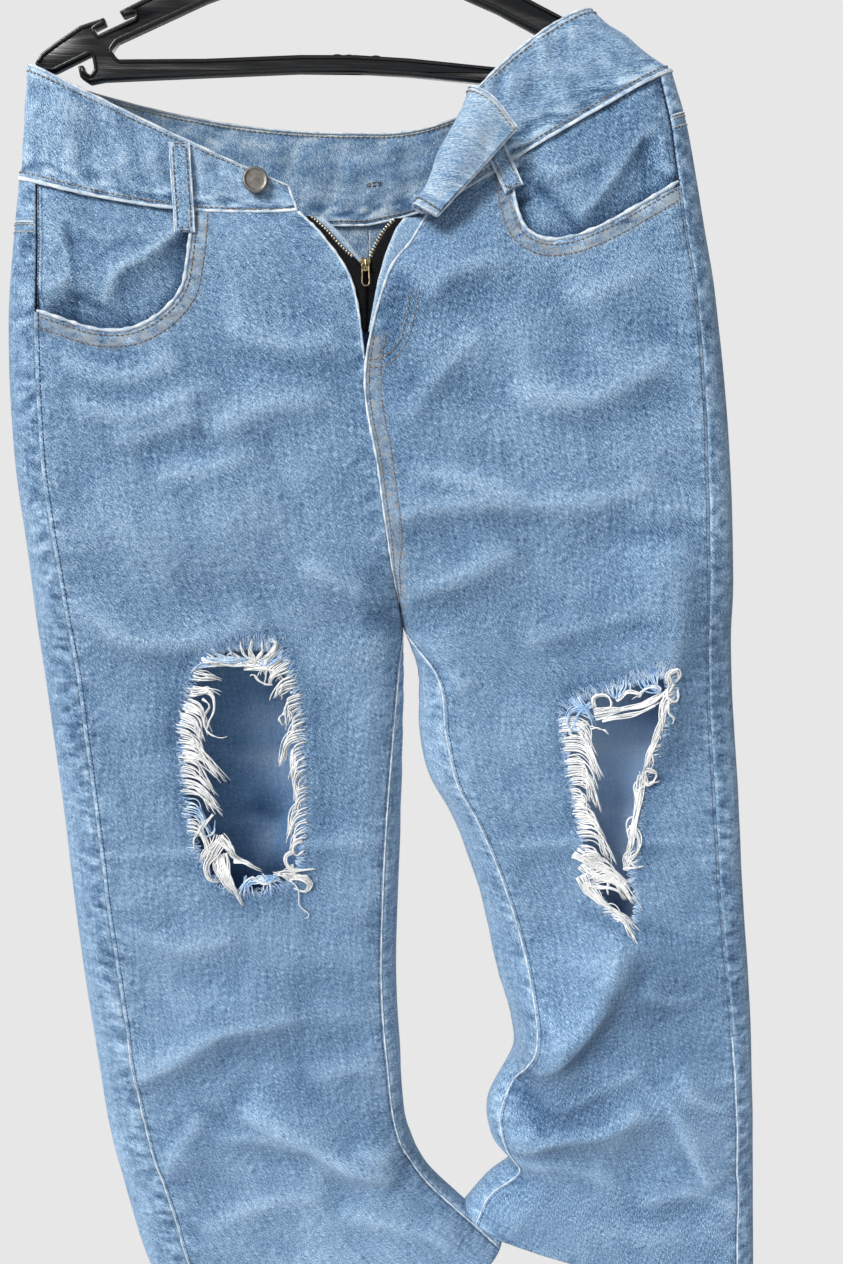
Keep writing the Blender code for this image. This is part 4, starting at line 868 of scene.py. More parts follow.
# Each finish: the function that makes it, its name and what the function needs to know.
FINISHES = {
    "washed_denim": (denim, "washed_denim_twill", OUTSIDE, 0.27),
    "wrong_side": (denim, "washed_denim_wrong_side", WRONG_SIDE, 0.6, 1.0, WRONG_TWILL),
    "leg_inside": (denim, "unworn_denim_inside_leg", SHADED, 0.1, 0.7, WRONG_TWILL),
    "painted_light_leg_inside": (denim, "pale_denim_inside_leg", PAINTED_LIGHT_INSIDE, 0.1, 0.7, WRONG_TWILL),
    "worn_edge": (worn_cotton, "rubbed_denim_edge", [(0.1, "8aa6c2"), (0.35, "b9cad9"), (0.75, "e8edf0")],
                  (1.6, 7.0)),
    "brown_thread": (worn_cotton, "cotton_thread_brown", [(0.2, "6b5f53"), (0.8, "9c9082")]),
    "beige_thread": (worn_cotton, "cotton_thread_beige", [(0.2, "a39a8a"), (0.8, "cfc8b8")]),
    "dark_thread": (worn_cotton, "cotton_thread_slate", [(0.2, "33405a"), (0.8, "5d6f8c")]),
    "frayed_weft": (worn_cotton, "unbleached_cotton_weft",
                    [(0.15, "cfd1d2"), (0.5, "f0f0ee"), (0.85, "ffffff")], (2.0, 14.0)),
    "frayed_warp": (worn_cotton, "indigo_cotton_fuzz", [(0.2, "86b1dd"), (0.8, "dcebf8")], (2.0, 9.0)),
    "zip_tape": (woven_tape, "woven_polyester_tape"),
    "brass": (cast_metal, "antique_plated_brass", "6f6044", "cdbc94", 0.38),
    "pale_brass": (cast_metal, "worn_antique_plated_brass", "a3977a", "f0e8d2", 0.38),
    "button_metal": (cast_metal, "blasted_zinc_alloy", "6e6a64", "8f8b84", 0.55),
    "floor": (painted_floor, "matt_floor_paint"),
    "hanger_plastic": (moulded_plastic, "moulded_polypropylene", "0b0c0e", "2a2c30"),
}
MADE = {}


def material_of(key):
    """The material with that key, made the first time it is asked for."""
    if key not in MADE:
        make, *given = FINISHES[key]
        MADE[key] = make(*given)
    return MADE[key]


# ---------------------------------------------------------------- cloth
def yoke_drop(round_):
    """Drop of the yoke seam at each round."""
    return YOKE_SIDE + (YOKE_CENTRE - YOKE_SIDE) * np.clip(np.asarray(round_, float) - 2, 0, 1)


def edge_distances(points):
    """Distances over the cloth to a grid's first and last column, in mm."""
    along = np.linalg.norm(np.diff(points, axis=1), axis=-1)
    run = np.concatenate([np.zeros((len(points), 1)), np.cumsum(along, axis=1)], axis=1)
    return run, run[:, -1:] - run


def panel_marks(tube, points, normals, drop, strip=9.0, fade=0.0):
    """The wear and painted shade mark: crests, edges and the middle of the leg are rubbed paler, hollows are
    darkened with painted shade and the sides are left darker than the middle. pucker: how near a sewn edge
    is, exp(-distance / 9 mm) and more across the side strip."""
    first, last = edge_distances(points)
    edge = np.exp(-first / 9) + np.exp(-last / strip) + np.exp(-np.abs(drop) / 9)
    edge += 0.7 * np.exp(-(tube.last - drop) / 8)
    across = first / (first + last)
    middle = np.exp(-((across - 0.45) / 0.3) ** 2) * np.exp(-((drop - 330) / 330) ** 2)
    crest = crest_wear_and_hollow_shade(points, normals)
    # painted shade: where a point lies below its surroundings the mark goes down to -0.25
    worn = np.clip(crest * 0.3, -0.25, 0.3) + 0.1 * middle - 0.05 + fade
    worn += 0.5 * np.exp(-np.minimum(first, last) / 1.6)
    return {"worn": worn, "pucker": np.clip(edge, 0, 1)}


def away_from(line, x, z):
    """Distance of each point (x, z) from the nearest of the points of a line."""
    nearest = np.full(x.shape, np.inf)
    for at_x, at_z in line:
        nearest = np.minimum(nearest, np.hypot(x - at_x, z - at_z))
    return nearest


def cloth(name, points, hand, marks, finishes, thickness, replaced, slot="denim",
          shape=None):
    """A grid of points as a piece of cloth: its finishes outside and inside, its thickness, the node it
    stands for, and what it rests on, which is not used.  shape is its points and faces where it is cut out."""
    flat, faces = shape or (points, quads(*points.shape[:2], flip=hand > 0))
    thing = piece(name, flat, faces, finishes, slot, [replaced], uv=cloth_uv(points, hand), marks=marks)
    thicken(thing, thickness, len(finishes.split()) - 1)


def shade(marks, points, faces):
    """Darken the cloth with painted shade by the shades of those faces; a height below 0 paints light
    instead.
    """
    for fold in PAINTED_SHADES:
        if fold.face in faces:
            marks["worn"] = marks["worn"] - fold_height(fold, points[..., 0], points[..., 2])


def make_front(side, settings):
    """The front panel: a grid over round 0 to 1 and drop 0 to the hem, open at pocket and rip."""
    tube = TUBES[side]
    drop = np.linspace(0, tube.last, settings.front_rows + 1)[:, None]
    points = tube.at(drop, np.linspace(0, 1, settings.front_columns + 1))
    x, z = points[..., 0], points[..., 2]
    marks = panel_marks(tube, points, grid_normals(points, tube.hand), np.broadcast_to(drop, x.shape))
    mouth = away_from(smooth_path(POCKETS[side][:-1], 90), x, z)
    marks["pucker"] = np.clip(marks["pucker"] + 1.2 * np.exp(-(mouth / MOUTH_STRIP) ** 4), 0, 1.2)
    marks["worn"] = marks["worn"] + 0.08 * np.exp(-(mouth / MOUTH_STRIP) ** 4)
    marks["grey_wear_and_fly_highlight"] = np.exp(-((mouth - 6.5) / 5.0) ** 4)
    # painted highlight: a pale grey strip along the rolled fold beside the fly, where the edge catches the
    # light
    if side == "right":
        first, _ = edge_distances(points)
        strip = 0.8 * np.exp(-((first - 6) / 6) ** 4) * (drop > RISE_START) * (drop < RISE_END)
        marks["grey_wear_and_fly_highlight"] = np.maximum(marks["grey_wear_and_fly_highlight"], strip)
    rip = away_from(smooth_path(HOLES[side], 90, closed=True), x, z)
    # painted shade: a darker ring about 16 mm outside the rip's edge
    marks["worn"] = marks["worn"] - 0.3 * np.exp(-((rip - 16) / 12) ** 2)
    # painted shade and painted light from the shade table
    shade(marks, points, (f"{side} front", f"{side} back"))
    shape = points.reshape(-1, 3), quads(*points.shape[:2], flip=tube.hand > 0)
    for outline in (smooth_path(POCKETS[side], 160, closed=True), cut_edge(side)[::3]):
        shape = cut_out(*shape, outline)
    cloth(f"cloth_front_{side}", points, tube.hand, marks, "washed_denim leg_inside",
          settings.cloth_thickness / MM, f"front_{side}", shape=shape)


def make_back(side, settings):
    """The back panel, from the outseam round the side fold to the centre back and the inseam."""
    tube = TUBES[side]
    round_ = np.concatenate([np.linspace(1, 2, 13), np.linspace(2, 3, settings.back_columns + 1)[1:]])
    top = yoke_drop(round_)
    drop = top + np.linspace(0, 1, settings.back_rows + 1)[:, None] * (tube.last - top)
    points = tube.at(drop, round_)
    marks = panel_marks(tube, points, grid_normals(points, tube.hand), drop)
    first, _ = edge_distances(points)
    marks["pucker"] = np.clip(marks["pucker"] + 0.8 * np.exp(-first / 24), 0, 1)
    marks["worn"] = marks["worn"] - 0.18 * np.exp(-first / 30)
    shade(marks, points, (f"{side} back",))
    # the right back's inner face takes the copy with painted light
    cloth(f"cloth_back_{side}", points, tube.hand, marks,
          "washed_denim " + ("leg_inside" if side == "left" else "painted_light_leg_inside"),
          settings.cloth_thickness / MM, f"back_{side}")


def make_yoke(side, settings):
    """The yoke: from the waist seam down to drop 32 at the side and 66 at the centre back."""
    tube = TUBES[side]
    round_ = np.concatenate([np.linspace(1, 2, 9), np.linspace(2, 3, 71)[1:]])
    drop = np.linspace(0, 1, 15)[:, None] * yoke_drop(round_)
    points = tube.at(drop, round_)
    marks = panel_marks(tube, points, grid_normals(points, tube.hand), drop)
    marks["pucker"] = np.clip(marks["pucker"] + np.exp(-(yoke_drop(round_) - drop) / 9), 0, 1)
    cloth(f"cloth_yoke_{side}", points, tube.hand, marks, "washed_denim wrong_side",
          settings.cloth_thickness / MM, f"yoke_{side}")


def band_grid(rows):
    """The band's outer face: left tube round to the centre back, right tube back to its front
    end, then a smooth curve through the lapel's stations.  Rows run from its top to the seam."""
    down = np.linspace(0, 1, rows)
    drop = -BAND_HEIGHT * (1 - down)[:, None]
    round_ = np.concatenate([np.linspace(0, 1, 56), np.linspace(1, 2, 10)[1:], np.linspace(2, 3, 60)[1:]])
    left, right = TUBES["left"].at(drop, round_), TUBES["right"].at(drop, round_)[:, ::-1]
    middle = (left[:, -1:] + right[:, :1]) / 2
    lead = TUBES["right"].at(drop, np.array([0.16, 0.08, 0.0]))
    low, high = np.array([row.low for row in LAPEL]), np.array([row.high for row in LAPEL])
    folded = high + (low - high) * down[:, None, None]
    stations = np.concatenate([lead, folded], axis=1)
    knots = np.concatenate(([0], np.cumsum(np.linalg.norm(np.diff(stations, axis=1), axis=-1).mean(axis=0))))
    at = np.linspace(knots[2], knots[-1], 44)[1:]
    lapel = np.stack([np.stack([smooth(at, knots, row[:, axis]) for axis in range(3)], axis=-1)
                      for row in stations])
    return np.concatenate([left[:, :-1], middle, right[:, 1:], lapel], axis=1)


def make_waistband(settings):
    """The waistband with its folded-back end: the band's grid, lifted a little by ripples."""
    points = band_grid(22)
    normals = grid_normals(points, 1.0)
    run = run_along(points[len(points) // 2])
    down = np.linspace(0, BAND_HEIGHT, len(points))[:, None]
    calm = np.clip(down / 10, 0, 1) * np.clip((BAND_HEIGHT - down) / 8, 0, 1)
    turned = np.clip((run[-1] - 70 - run) / -20, 0, 1)
    lift = (ripple(run[None, :], down, 34.0, 11) * (0.9 + 0.8 * turned)
            + ripple(run[None, :], down, 13.0, 4) * 0.5)
    points = points + normals * (lift * calm)[..., None]
    normals = grid_normals(points, 1.0)
    edge = np.exp(-down / 7) + np.exp(-(BAND_HEIGHT - down) / 9) + np.exp(-run / 7)
    edge = edge + np.exp(-(run[-1] - run) / 7)
    inner = np.clip((points[..., 1] + 5) / 12, 0, 1)
    # crests of the band rub pale; its hollows get painted shade
    worn = np.clip(crest_wear_and_hollow_shade(points, normals, 2) * 0.5, -0.4, 0.4) + 0.9 * np.exp(-down / 1.8) + 0.2
    # painted shade: the part of the band behind is darker, most in a stripe 24 mm below its top
    worn = worn - inner * (0.32 + 0.3 * np.exp(-((down - 24) / 7) ** 2))
    edge = np.clip(edge, 0, 1) + 1.0 * np.exp(-((BAND_HEIGHT - down - 8) / 7) ** 2)
    marks = {"worn": worn, "pucker": edge + 0.35 * inner}
    cloth("cloth_waistband", points, 1.0, marks, "washed_denim wrong_side", settings.band_thickness / MM,
          "waistband")


FACING_TONE = {"left": 0.06, "right": -0.12}        # the right facing is drawn darker, the left paler


def make_facing(side):
    """The pocket facing behind a pocket mouth: it sags in under the mouth's edge and bulges above it."""
    tube = TUBES[side]
    round_, drop = np.linspace(0.46, 0.995, 61), np.linspace(1.0, 176.0, 81)[:, None]
    points = tube.at(drop, round_)
    normals = grid_normals(points, tube.hand)
    x, z = points[..., 0], points[..., 2]
    away = away_from(smooth_path(POCKETS[side][:-1], 90), x, z)
    calm = np.clip((drop - 4) / 40, 0, 1) * np.clip((0.97 - round_) / 0.1, 0, 1)
    sunk = 2.3 + 6.0 * calm + 2.0 * np.exp(-(away / 13.0) ** 2)
    for fold in POCKET_FOLDS:
        if fold.face == side:
            sunk = sunk - fold_height(fold, x, z)
    points = points - normals * np.maximum(sunk, 2.0)[..., None]
    normals = grid_normals(points, tube.hand)
    marks = panel_marks(tube, points, normals, np.broadcast_to(drop, x.shape), fade=FACING_TONE[side])
    # painted shade: the facing is darker just under the mouth's edge and in its hollows
    crests = np.clip(crest_wear_and_hollow_shade(points, normals, 2) * 0.8, -0.5, 0.2)
    marks["worn"] = marks["worn"] - 0.6 * np.exp(-(away / 7.0) ** 2) + crests
    cloth(f"cloth_pocket_facing_{side}", points, tube.hand, marks, "washed_denim", 1.0,
          f"pocket_facing_{side}")


def pocket_outline(side, grow=0.0):
    """A back pocket's outline as (x, z): straight top, drawn-in sides and a blunt point."""
    x, z, lean = BACK_POCKETS[side]
    half, low = POCKET_WIDTH / 2, POCKET_TAPER
    corners = [(-half, 0), (half, 0), (half * low, POCKET_HEIGHT), (0, POCKET_HEIGHT + POCKET_POINT),
               (-half * low, POCKET_HEIGHT)]
    corners = np.array([(a - math.copysign(grow, a) * (a != 0), b + (grow if b == 0 else -grow))
                        for a, b in corners])
    turn = math.radians(lean)
    return np.stack([x + corners[:, 0] * math.cos(turn) + corners[:, 1] * math.sin(turn),
                     z + corners[:, 0] * math.sin(turn) - corners[:, 1] * math.cos(turn)], axis=-1)


def make_back_pocket(side):
    """A patch pocket: a grid between its drawn-in sides, laid 0.6 mm over the back."""
    tube = TUBES[side]
    x, z, lean = BACK_POCKETS[side]
    u, v = np.meshgrid(np.linspace(-0.5, 0.5, 49), np.linspace(0, 1, 57))
    width = POCKET_WIDTH * (1 - (1 - POCKET_TAPER) * v)
    drop = v * (POCKET_HEIGHT + POCKET_POINT * (0.5 - np.abs(u)) * 2)
    turn = math.radians(lean)
    at_x = x + u * width * math.cos(turn) + drop * math.sin(turn)
    at_z = z + u * width * math.sin(turn) - drop * math.cos(turn)
    points, _, _, normals = tube.frame_at(*tube.find(at_x, at_z, "back"))
    bulge = 1.2 * np.sin(math.pi * (u + 0.5)) * np.sin(math.pi * np.clip(v * 1.1, 0, 1))
    points = points + normals * (LAY_GAP + 1.1 + bulge + 0.35 * ripple(at_x, at_z, 30.0, 5))[..., None]
    edge = np.minimum(np.minimum(u + 0.5, 0.5 - u) * width, np.minimum(v, 1 - v) * POCKET_HEIGHT)
    marks = {"worn": 0.7 * np.exp(-edge / 2.5) + 0.1 * bulge, "pucker": np.exp(-edge / 8)}
    hand = np.sign((grid_normals(points, 1.0) * normals).sum())
    cloth(f"cloth_back_pocket_{side}", points, hand, marks, "washed_denim", 1.1, f"back_pocket_{side}")


def loop_grid(loop, columns=9, rows=33):
    """A belt loop's outer face: straight across its middle line, which stands off the cloth by
    2.2 mm times the square root of a half sine along it.  Also its normals."""
    side, face = loop.face.split()
    run = np.linspace(0, 1, rows)[:, None]
    places = np.array(loop.top) + (np.array(loop.bottom) - loop.top) * run
    tube = TUBES[side]
    middle, _, _, normals = tube.frame_at(*tube.find(places[:, 0], places[:, 1], face))
    normals = unit(blurred(normals, 3, (0,)))
    across = unit(np.cross(normals, np.gradient(middle, axis=0)))
    lift = LAY_GAP + LOOP_LIFT * np.sqrt(np.clip(np.sin(math.pi * run), 0, 1)) + 1.2
    points = middle[:, None] + across[:, None] * (np.linspace(-0.5, 0.5, columns) * LOOP_WIDTH)[None, :, None]
    normals = np.broadcast_to(normals[:, None], points.shape)
    return points + normals * lift[..., None], normals


def make_loops():
    """The five belt loops: a folded strip, tacked at both ends."""
    for loop in LOOPS:
        points, normals = loop_grid(loop)
        u = np.linspace(-0.5, 0.5, points.shape[1])
        points = points - normals * (0.5 * (2 * np.abs(u)) ** 4)[None, :, None]
        edge = (0.5 - np.abs(u)) * LOOP_WIDTH
        worn = np.broadcast_to(1.0 * np.exp(-edge / 1.4) + 0.15, points.shape[:2])
        marks = {"worn": worn, "pucker": np.broadcast_to(np.exp(-edge / 3) * 0.6, points.shape[:2])}
        hand = np.sign((grid_normals(points, 1.0) * normals).sum())
        cloth(f"cloth_{loop.name}", points, hand, marks, "washed_denim", 1.2, loop.name)


# ---------------------------------------------------------------- the fly
def fly_depth(z):
    """Depth of the inner face of both fronts next to the fly, at a height."""
    knots = [(row.fz, -min(row.deep_f, other.deep_f)) for row, other in zip(LEFT[:6], RIGHT[:6])]
    heights, depths = np.array(knots[::-1]).T
    return np.interp(z, heights, depths) + CLOTH


def fly_strip(name, column, side, layer, thick, finish, replaced, slot="denim"):
    """A strip behind the fly, from its free edge to 12 mm behind the front it is sewn to."""
    z = np.linspace(FLY[0].z, FLY[-1].z, 26)
    free = np.interp(-z, [-row.z for row in FLY], [getattr(row, column) for row in FLY])
    rows, _, hand = SIDES[side]
    sewn = np.interp(-z, [-row.fz for row in rows[:6]], [row.fx for row in rows[:6]]) - hand * TUCKED
    x = free[:, None] + (sewn - free)[:, None] * np.linspace(0, 1, 9)
    y = np.broadcast_to((fly_depth(z) + layer)[:, None], x.shape) + 0.25 * ripple(x, z[:, None], 16.0, 8)
    points = np.stack([x, y, np.broadcast_to(z[:, None], x.shape)], axis=-1)
    edge = np.abs(x - free[:, None])
    marks = {"worn": 0.9 * np.exp(-edge / 1.5) - 0.1, "pucker": 0.5 * np.exp(-edge / 4)}
    cloth(name, points, -hand, marks, finish, thick, replaced, slot)
    return points


TOOTH_PITCH = 2.3


def zip_teeth(left_edge, right_edge):
    """Small blocks along the tapes' free edges, one to each pitch: a box with a rounded nose."""
    profile = np.array([(-1.4, -0.75), (0.7, -0.75), (1.3, -0.35), (1.3, 0.35), (0.7, 0.75), (-1.4, 0.75)])
    parts = []
    for edge, way in ((left_edge, 1.0), (right_edge, -1.0)):
        path = edge[edge[:, 2] > SLIDER[2] + 2]
        count = int(length_of(path) // TOOTH_PITCH)
        run = run_along(path)
        at = (np.arange(count) + (0.25 if way > 0 else 0.75)) * TOOTH_PITCH
        places = points_at(at, run, path)
        ahead = unit(points_at(at + 1, run, path) - points_at(at - 1, run, path))
        out = np.cross(ahead, [0, 1.0, 0]) * -way
        out *= np.sign(out[:, :1]) * way
        corners = places[:, None] + out[:, None] * profile[:, :1] + ahead[:, None] * profile[:, 1:]
        blocks = np.stack([corners + [0, -1.0, 0], corners + [0, 1.5, 0]], axis=1)
        number = np.arange(blocks.shape[0] * 12).reshape(-1, 2, 6)
        beside = np.roll(number, -1, axis=2)
        walls = np.stack([number[:, 0], beside[:, 0], beside[:, 1], number[:, 1]], axis=-1).reshape(-1, 4)
        lids = np.concatenate([number[:, 0, ::-1], number[:, 1]])
        parts.append((blocks.reshape(-1, 3), [walls, lids]))
    return joined(parts)


def leaning(points, pivot):
    """Points given about a pivot, leant with the zip and put in place."""
    c, s = math.cos(SLIDER_LEAN), math.sin(SLIDER_LEAN)
    x, y, z = np.asarray(points, float).T
    return np.stack([x + pivot[0], y * c - z * s + pivot[1], y * s + z * c + pivot[2]], axis=-1)


def slider_body():
    """The slider: a shield outline, wide at its shoulders, between a front and a back wing, with
    a hollow for the teeth between them."""
    outline = np.array([(-3.7, 4.2), (-1.5, 4.6), (0, 3.9), (1.5, 4.6), (3.7, 4.2), (3.9, 2.6), (3.2, 0.2),
                        (2.5, -2.6), (2.3, -4.3), (-2.3, -4.3), (-2.5, -2.6), (-3.2, 0.2), (-3.9, 2.6)])
    levels = [(-2.1, 0.82), (-1.6, 1.0), (-0.9, 1.0), (-0.7, 0.55), (0.9, 0.55), (1.1, 1.0), (1.7, 1.0),
              (2.1, 0.85)]
    x, z = outline.T
    rings = np.stack([np.stack([x * size, np.full(len(x), y), z * size], axis=-1) for y, size in levels])
    count = len(outline)
    number = np.arange(len(levels) * count).reshape(len(levels), count)
    beside = np.roll(number, -1, axis=1)
    walls = np.stack([number[:-1], number[1:], beside[1:], beside[:-1]], axis=-1).reshape(-1, 4)
    lids = [number[:1], number[-1:, ::-1]]
    return rings.reshape(-1, 3), [walls, *lids]


def make_zip():
    """Tapes, shield, facing, teeth and the slider with its arch."""
    left, right = [fly_strip(f"zip_tape_{side}_woven", f"{side}_tape", side, layer, 0.7, "zip_tape",
                             f"zip_tape_{side}", "zip_tape")
                   for side, layer in (("left", FACING_LAYER), ("right", TAPE_LAYER))]
    for column, side, layer in (("shield", "left", SHIELD_LAYER), ("facing", "right", FACING_LAYER)):
        fly_strip(f"cloth_fly_{column}", column, side, layer, 1.1, "wrong_side", f"fly_{column}")
    piece("zip_teeth", *zip_teeth(left[:, 0], right[:, 0]), "pale_brass", "zip_brass")
    arch = smooth_path([(0, -1.4, 3.2), (0, -3.4, 3.3), (0, -4.8, 2.3), (0, -5.0, 0.2), (0, -4.8, -1.8),
                        (0, -3.4, -2.8), (0, -1.4, -2.8)], 22)
    points, faces = joined([slider_body(), tubes_along(arch, 0.65, sides=8)])
    slider = piece("zip_slider_body", leaning(points, SLIDER), faces, "brass", "zip_brass", ["zip_slider"])
    soft_edges(slider, 0.35)


def make_pull_tab():
    """The pull: a closed loop of wire through the slider's arch, flattened a little at its foot."""
    corners = [(0, 0, 0), (1.2, 0, 0), (2.2, 0, -1.0), (2.3, 0, -4), (2.3, 0, -9), (2.2, 0, -13.6),
               (1.3, 0, -14.9), (0, 0, -15), (-1.3, 0, -14.9), (-2.2, 0, -13.6), (-2.3, 0, -9), (-2.3, 0, -4),
               (-2.2, 0, -1.0), (-1.2, 0, 0)]
    loop = smooth_path(corners, 64, closed=True)
    points, faces = tubes_along(loop, 0.5, sides=10, closed=True)
    piece("pull_tab_wire", leaning(points, TAB_PIVOT), faces, "brass", "zip_brass", ["pull_tab"], TAB)


def turned(profile, steps):
    """A profile of (radius, height) turned about the z axis."""
    angle = np.arange(steps) / steps * 2 * math.pi
    radius, height = np.array(profile, float).T
    points = np.stack([radius[:, None] * np.cos(angle), radius[:, None] * np.sin(angle),
                       np.broadcast_to(height[:, None], (len(radius), steps))], axis=-1)
    faces = quads(len(radius), steps, flip=True, around=True)
    number = np.arange(len(radius) * steps).reshape(len(radius), steps)
    return points.reshape(-1, 3), [faces, number[:1, ::-1], number[-1:]]


def make_button():
    """The tack button: a flat grey cap with a rolled rim, and its shank."""
    profile = [(3.0, 0.6), (3.0, 2.5), (7.2, 2.7), (8.2, 3.0), (8.5, 3.6), (8.4, 4.3), (7.9, 4.8), (7.3, 4.9),
               (6.8, 4.7), (6.4, 4.35), (5.6, 4.25), (3.0, 4.4), (0.2, 4.45)]
    points, faces = turned(profile, 56)
    tube = TUBES["left"]
    hit, _, _, normal = tube.frame_at(*tube.find([BUTTON[0]], [BUTTON[1]]), False)
    turn = Vector(normal[0]).to_track_quat("Z", "Y").to_matrix()
    placed = points @ np.array(turn).T + hit[0]
    piece("tack_button", placed, faces, "button_metal", "button_metal", ["button"])


# ---------------------------------------------------------------- the hanger
# Half of the frame's outline, and of the opening in it, from the middle of the top to the
# middle of the bar.
HANGER_OUTLINE = [
    (0, -42), (9, -43), (14, -49), (30, -53), (60, -62), (98, -75), (139, -92), (154, -99), (152, -102),
    (144, -99), (144, -102), (169, -113), (171, -110), (163, -106), (164, -103), (180, -108.1),
    (195, -117.3), (206, -124.6), (211, -131), (206, -135), (199, -135.5), (174, -124), (173, -133),
    (176, -136.4), (179, -134.6), (180, -131), (183.4, -131.7), (182.6, -138), (177, -141.4),
    (168, -139.5), (100, -135), (37, -131), (0, -130),
]
HANGER_OPENING = [(0, -62), (30, -69), (60, -78), (97, -91), (157, -117), (161, -122), (157, -127),
                  (100, -125), (37, -121), (0, -120)]
HANGER_THICK, RIM_RADIUS = 7.0, 1.15


def evenly(path, step):
    """A closed line of straight stretches as points about step mm apart."""
    line = np.concatenate([path, path[:1]])
    run = run_along(line)
    return points_at(np.linspace(0, run[-1], max(int(run[-1] / step), 8), endpoint=False), run, line)


def make_hanger():
    """The hanger: its frame and hook with softened edges, a raised rim along every edge of the
    frame's two faces, and three small stops on the bar."""
    for node in ("hanger_frame", "hanger_hook"):
        shape = bmesh.new()
        shape.from_mesh(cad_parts[node].data)
        bmesh.ops.remove_doubles(shape, verts=shape.verts, dist=0.00002)
        mesh = bpy.data.meshes.new(f"{node}_moulded")
        shape.to_mesh(mesh)
        shape.free()
        mesh.materials.append(material_of("hanger_plastic"))
        mesh.shade_smooth()
        thing = bpy.data.objects.new(mesh.name, mesh)
        bpy.context.scene.collection.objects.link(thing)
        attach(thing, JEANS)
        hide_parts(node)
        if node == "hanger_frame":
            soft_edges(thing, 0.6, 35.0)
        else:
            smoothed = thing.modifiers.new("round", "SUBSURF")
            smoothed.levels = smoothed.render_levels = 1
    parts = []
    for half, inward in ((HANGER_OUTLINE, -1.3), (HANGER_OPENING, 1.3)):
        outline = evenly(np.array(half + [(-x, z) for x, z in reversed(half[1:-1])], float), 2.0)
        line = grown(outline, inward)
        for face in (-1, 1):
            depth = np.full(len(line), face * (HANGER_THICK / 2 + 0.1))
            path = np.stack([line[:, 0], depth, line[:, 1]], axis=-1)
            parts.append(tubes_along(path, RIM_RADIUS, sides=8, closed=True, flat=0.75,
                                     normals=np.zeros_like(path) + [0, 1, 0]))
    for x in (-12, -4, 14):
        stop = np.stack([np.full(9, x) + np.linspace(-4, 4, 9), np.full(9, -2.2),
                         -122.6 + 2.0 * np.sqrt(1 - np.linspace(-0.98, 0.98, 9) ** 2)], axis=-1)
        parts.append(tubes_along(stop, 1.1, sides=8))
    points, faces = joined(parts)
    piece("hanger_rims", points, faces, "hanger_plastic", "hanger_plastic")


# ---------------------------------------------------------------- seams
BELOW_KNEE = 690.0              # drop from which the outseam's edge stands out
BAR_AT = (11.6, -195.5)         # x and z of the thread bar


def on_seam(tube, drop, round_, offset=0.0, lift=0.0):
    """A line along a seam of the finished cloth, offset mm further round and lifted, and its normals."""
    drop = np.asarray(drop, float)
    round_ = tube.beside(drop, np.broadcast_to(np.asarray(round_, float), drop.shape), offset)
    points, _, _, normals = tube.frame_at(drop, round_)
    return points + normals * lift, normals


def over_cloth(tube, x, z, height, face="front"):
    """Points that lie height mm over the cloth above (x, z), and its normals there."""
    points, _, _, normals = tube.frame_at(*tube.find(x, z, face))
    return points + normals * np.broadcast_to(height, np.shape(x))[..., None], normals


def grown(outline, amount):
    """A closed outline moved outwards by amount mm."""
    ahead = unit(np.roll(outline, -1, axis=0) - np.roll(outline, 1, axis=0))
    out = np.stack([ahead[:, 1], -ahead[:, 0]], axis=-1)
    area = (outline[:, 0] * np.roll(outline[:, 1], -1) - np.roll(outline[:, 0], -1) * outline[:, 1]).sum()
    return outline + out * amount * np.sign(area)


def edge_cord(path, normals, radius, seed, flat=0.75):
    """A rubbed edge: a cord along it whose radius wanders by a third."""
    run = np.linspace(0, length_of(path), len(path))
    wander = 1 + 0.33 * ripple(run, run * 0, 9.0, seed)
    return tubes_along(path, radius * wander, sides=6, normals=normals, flat=flat)


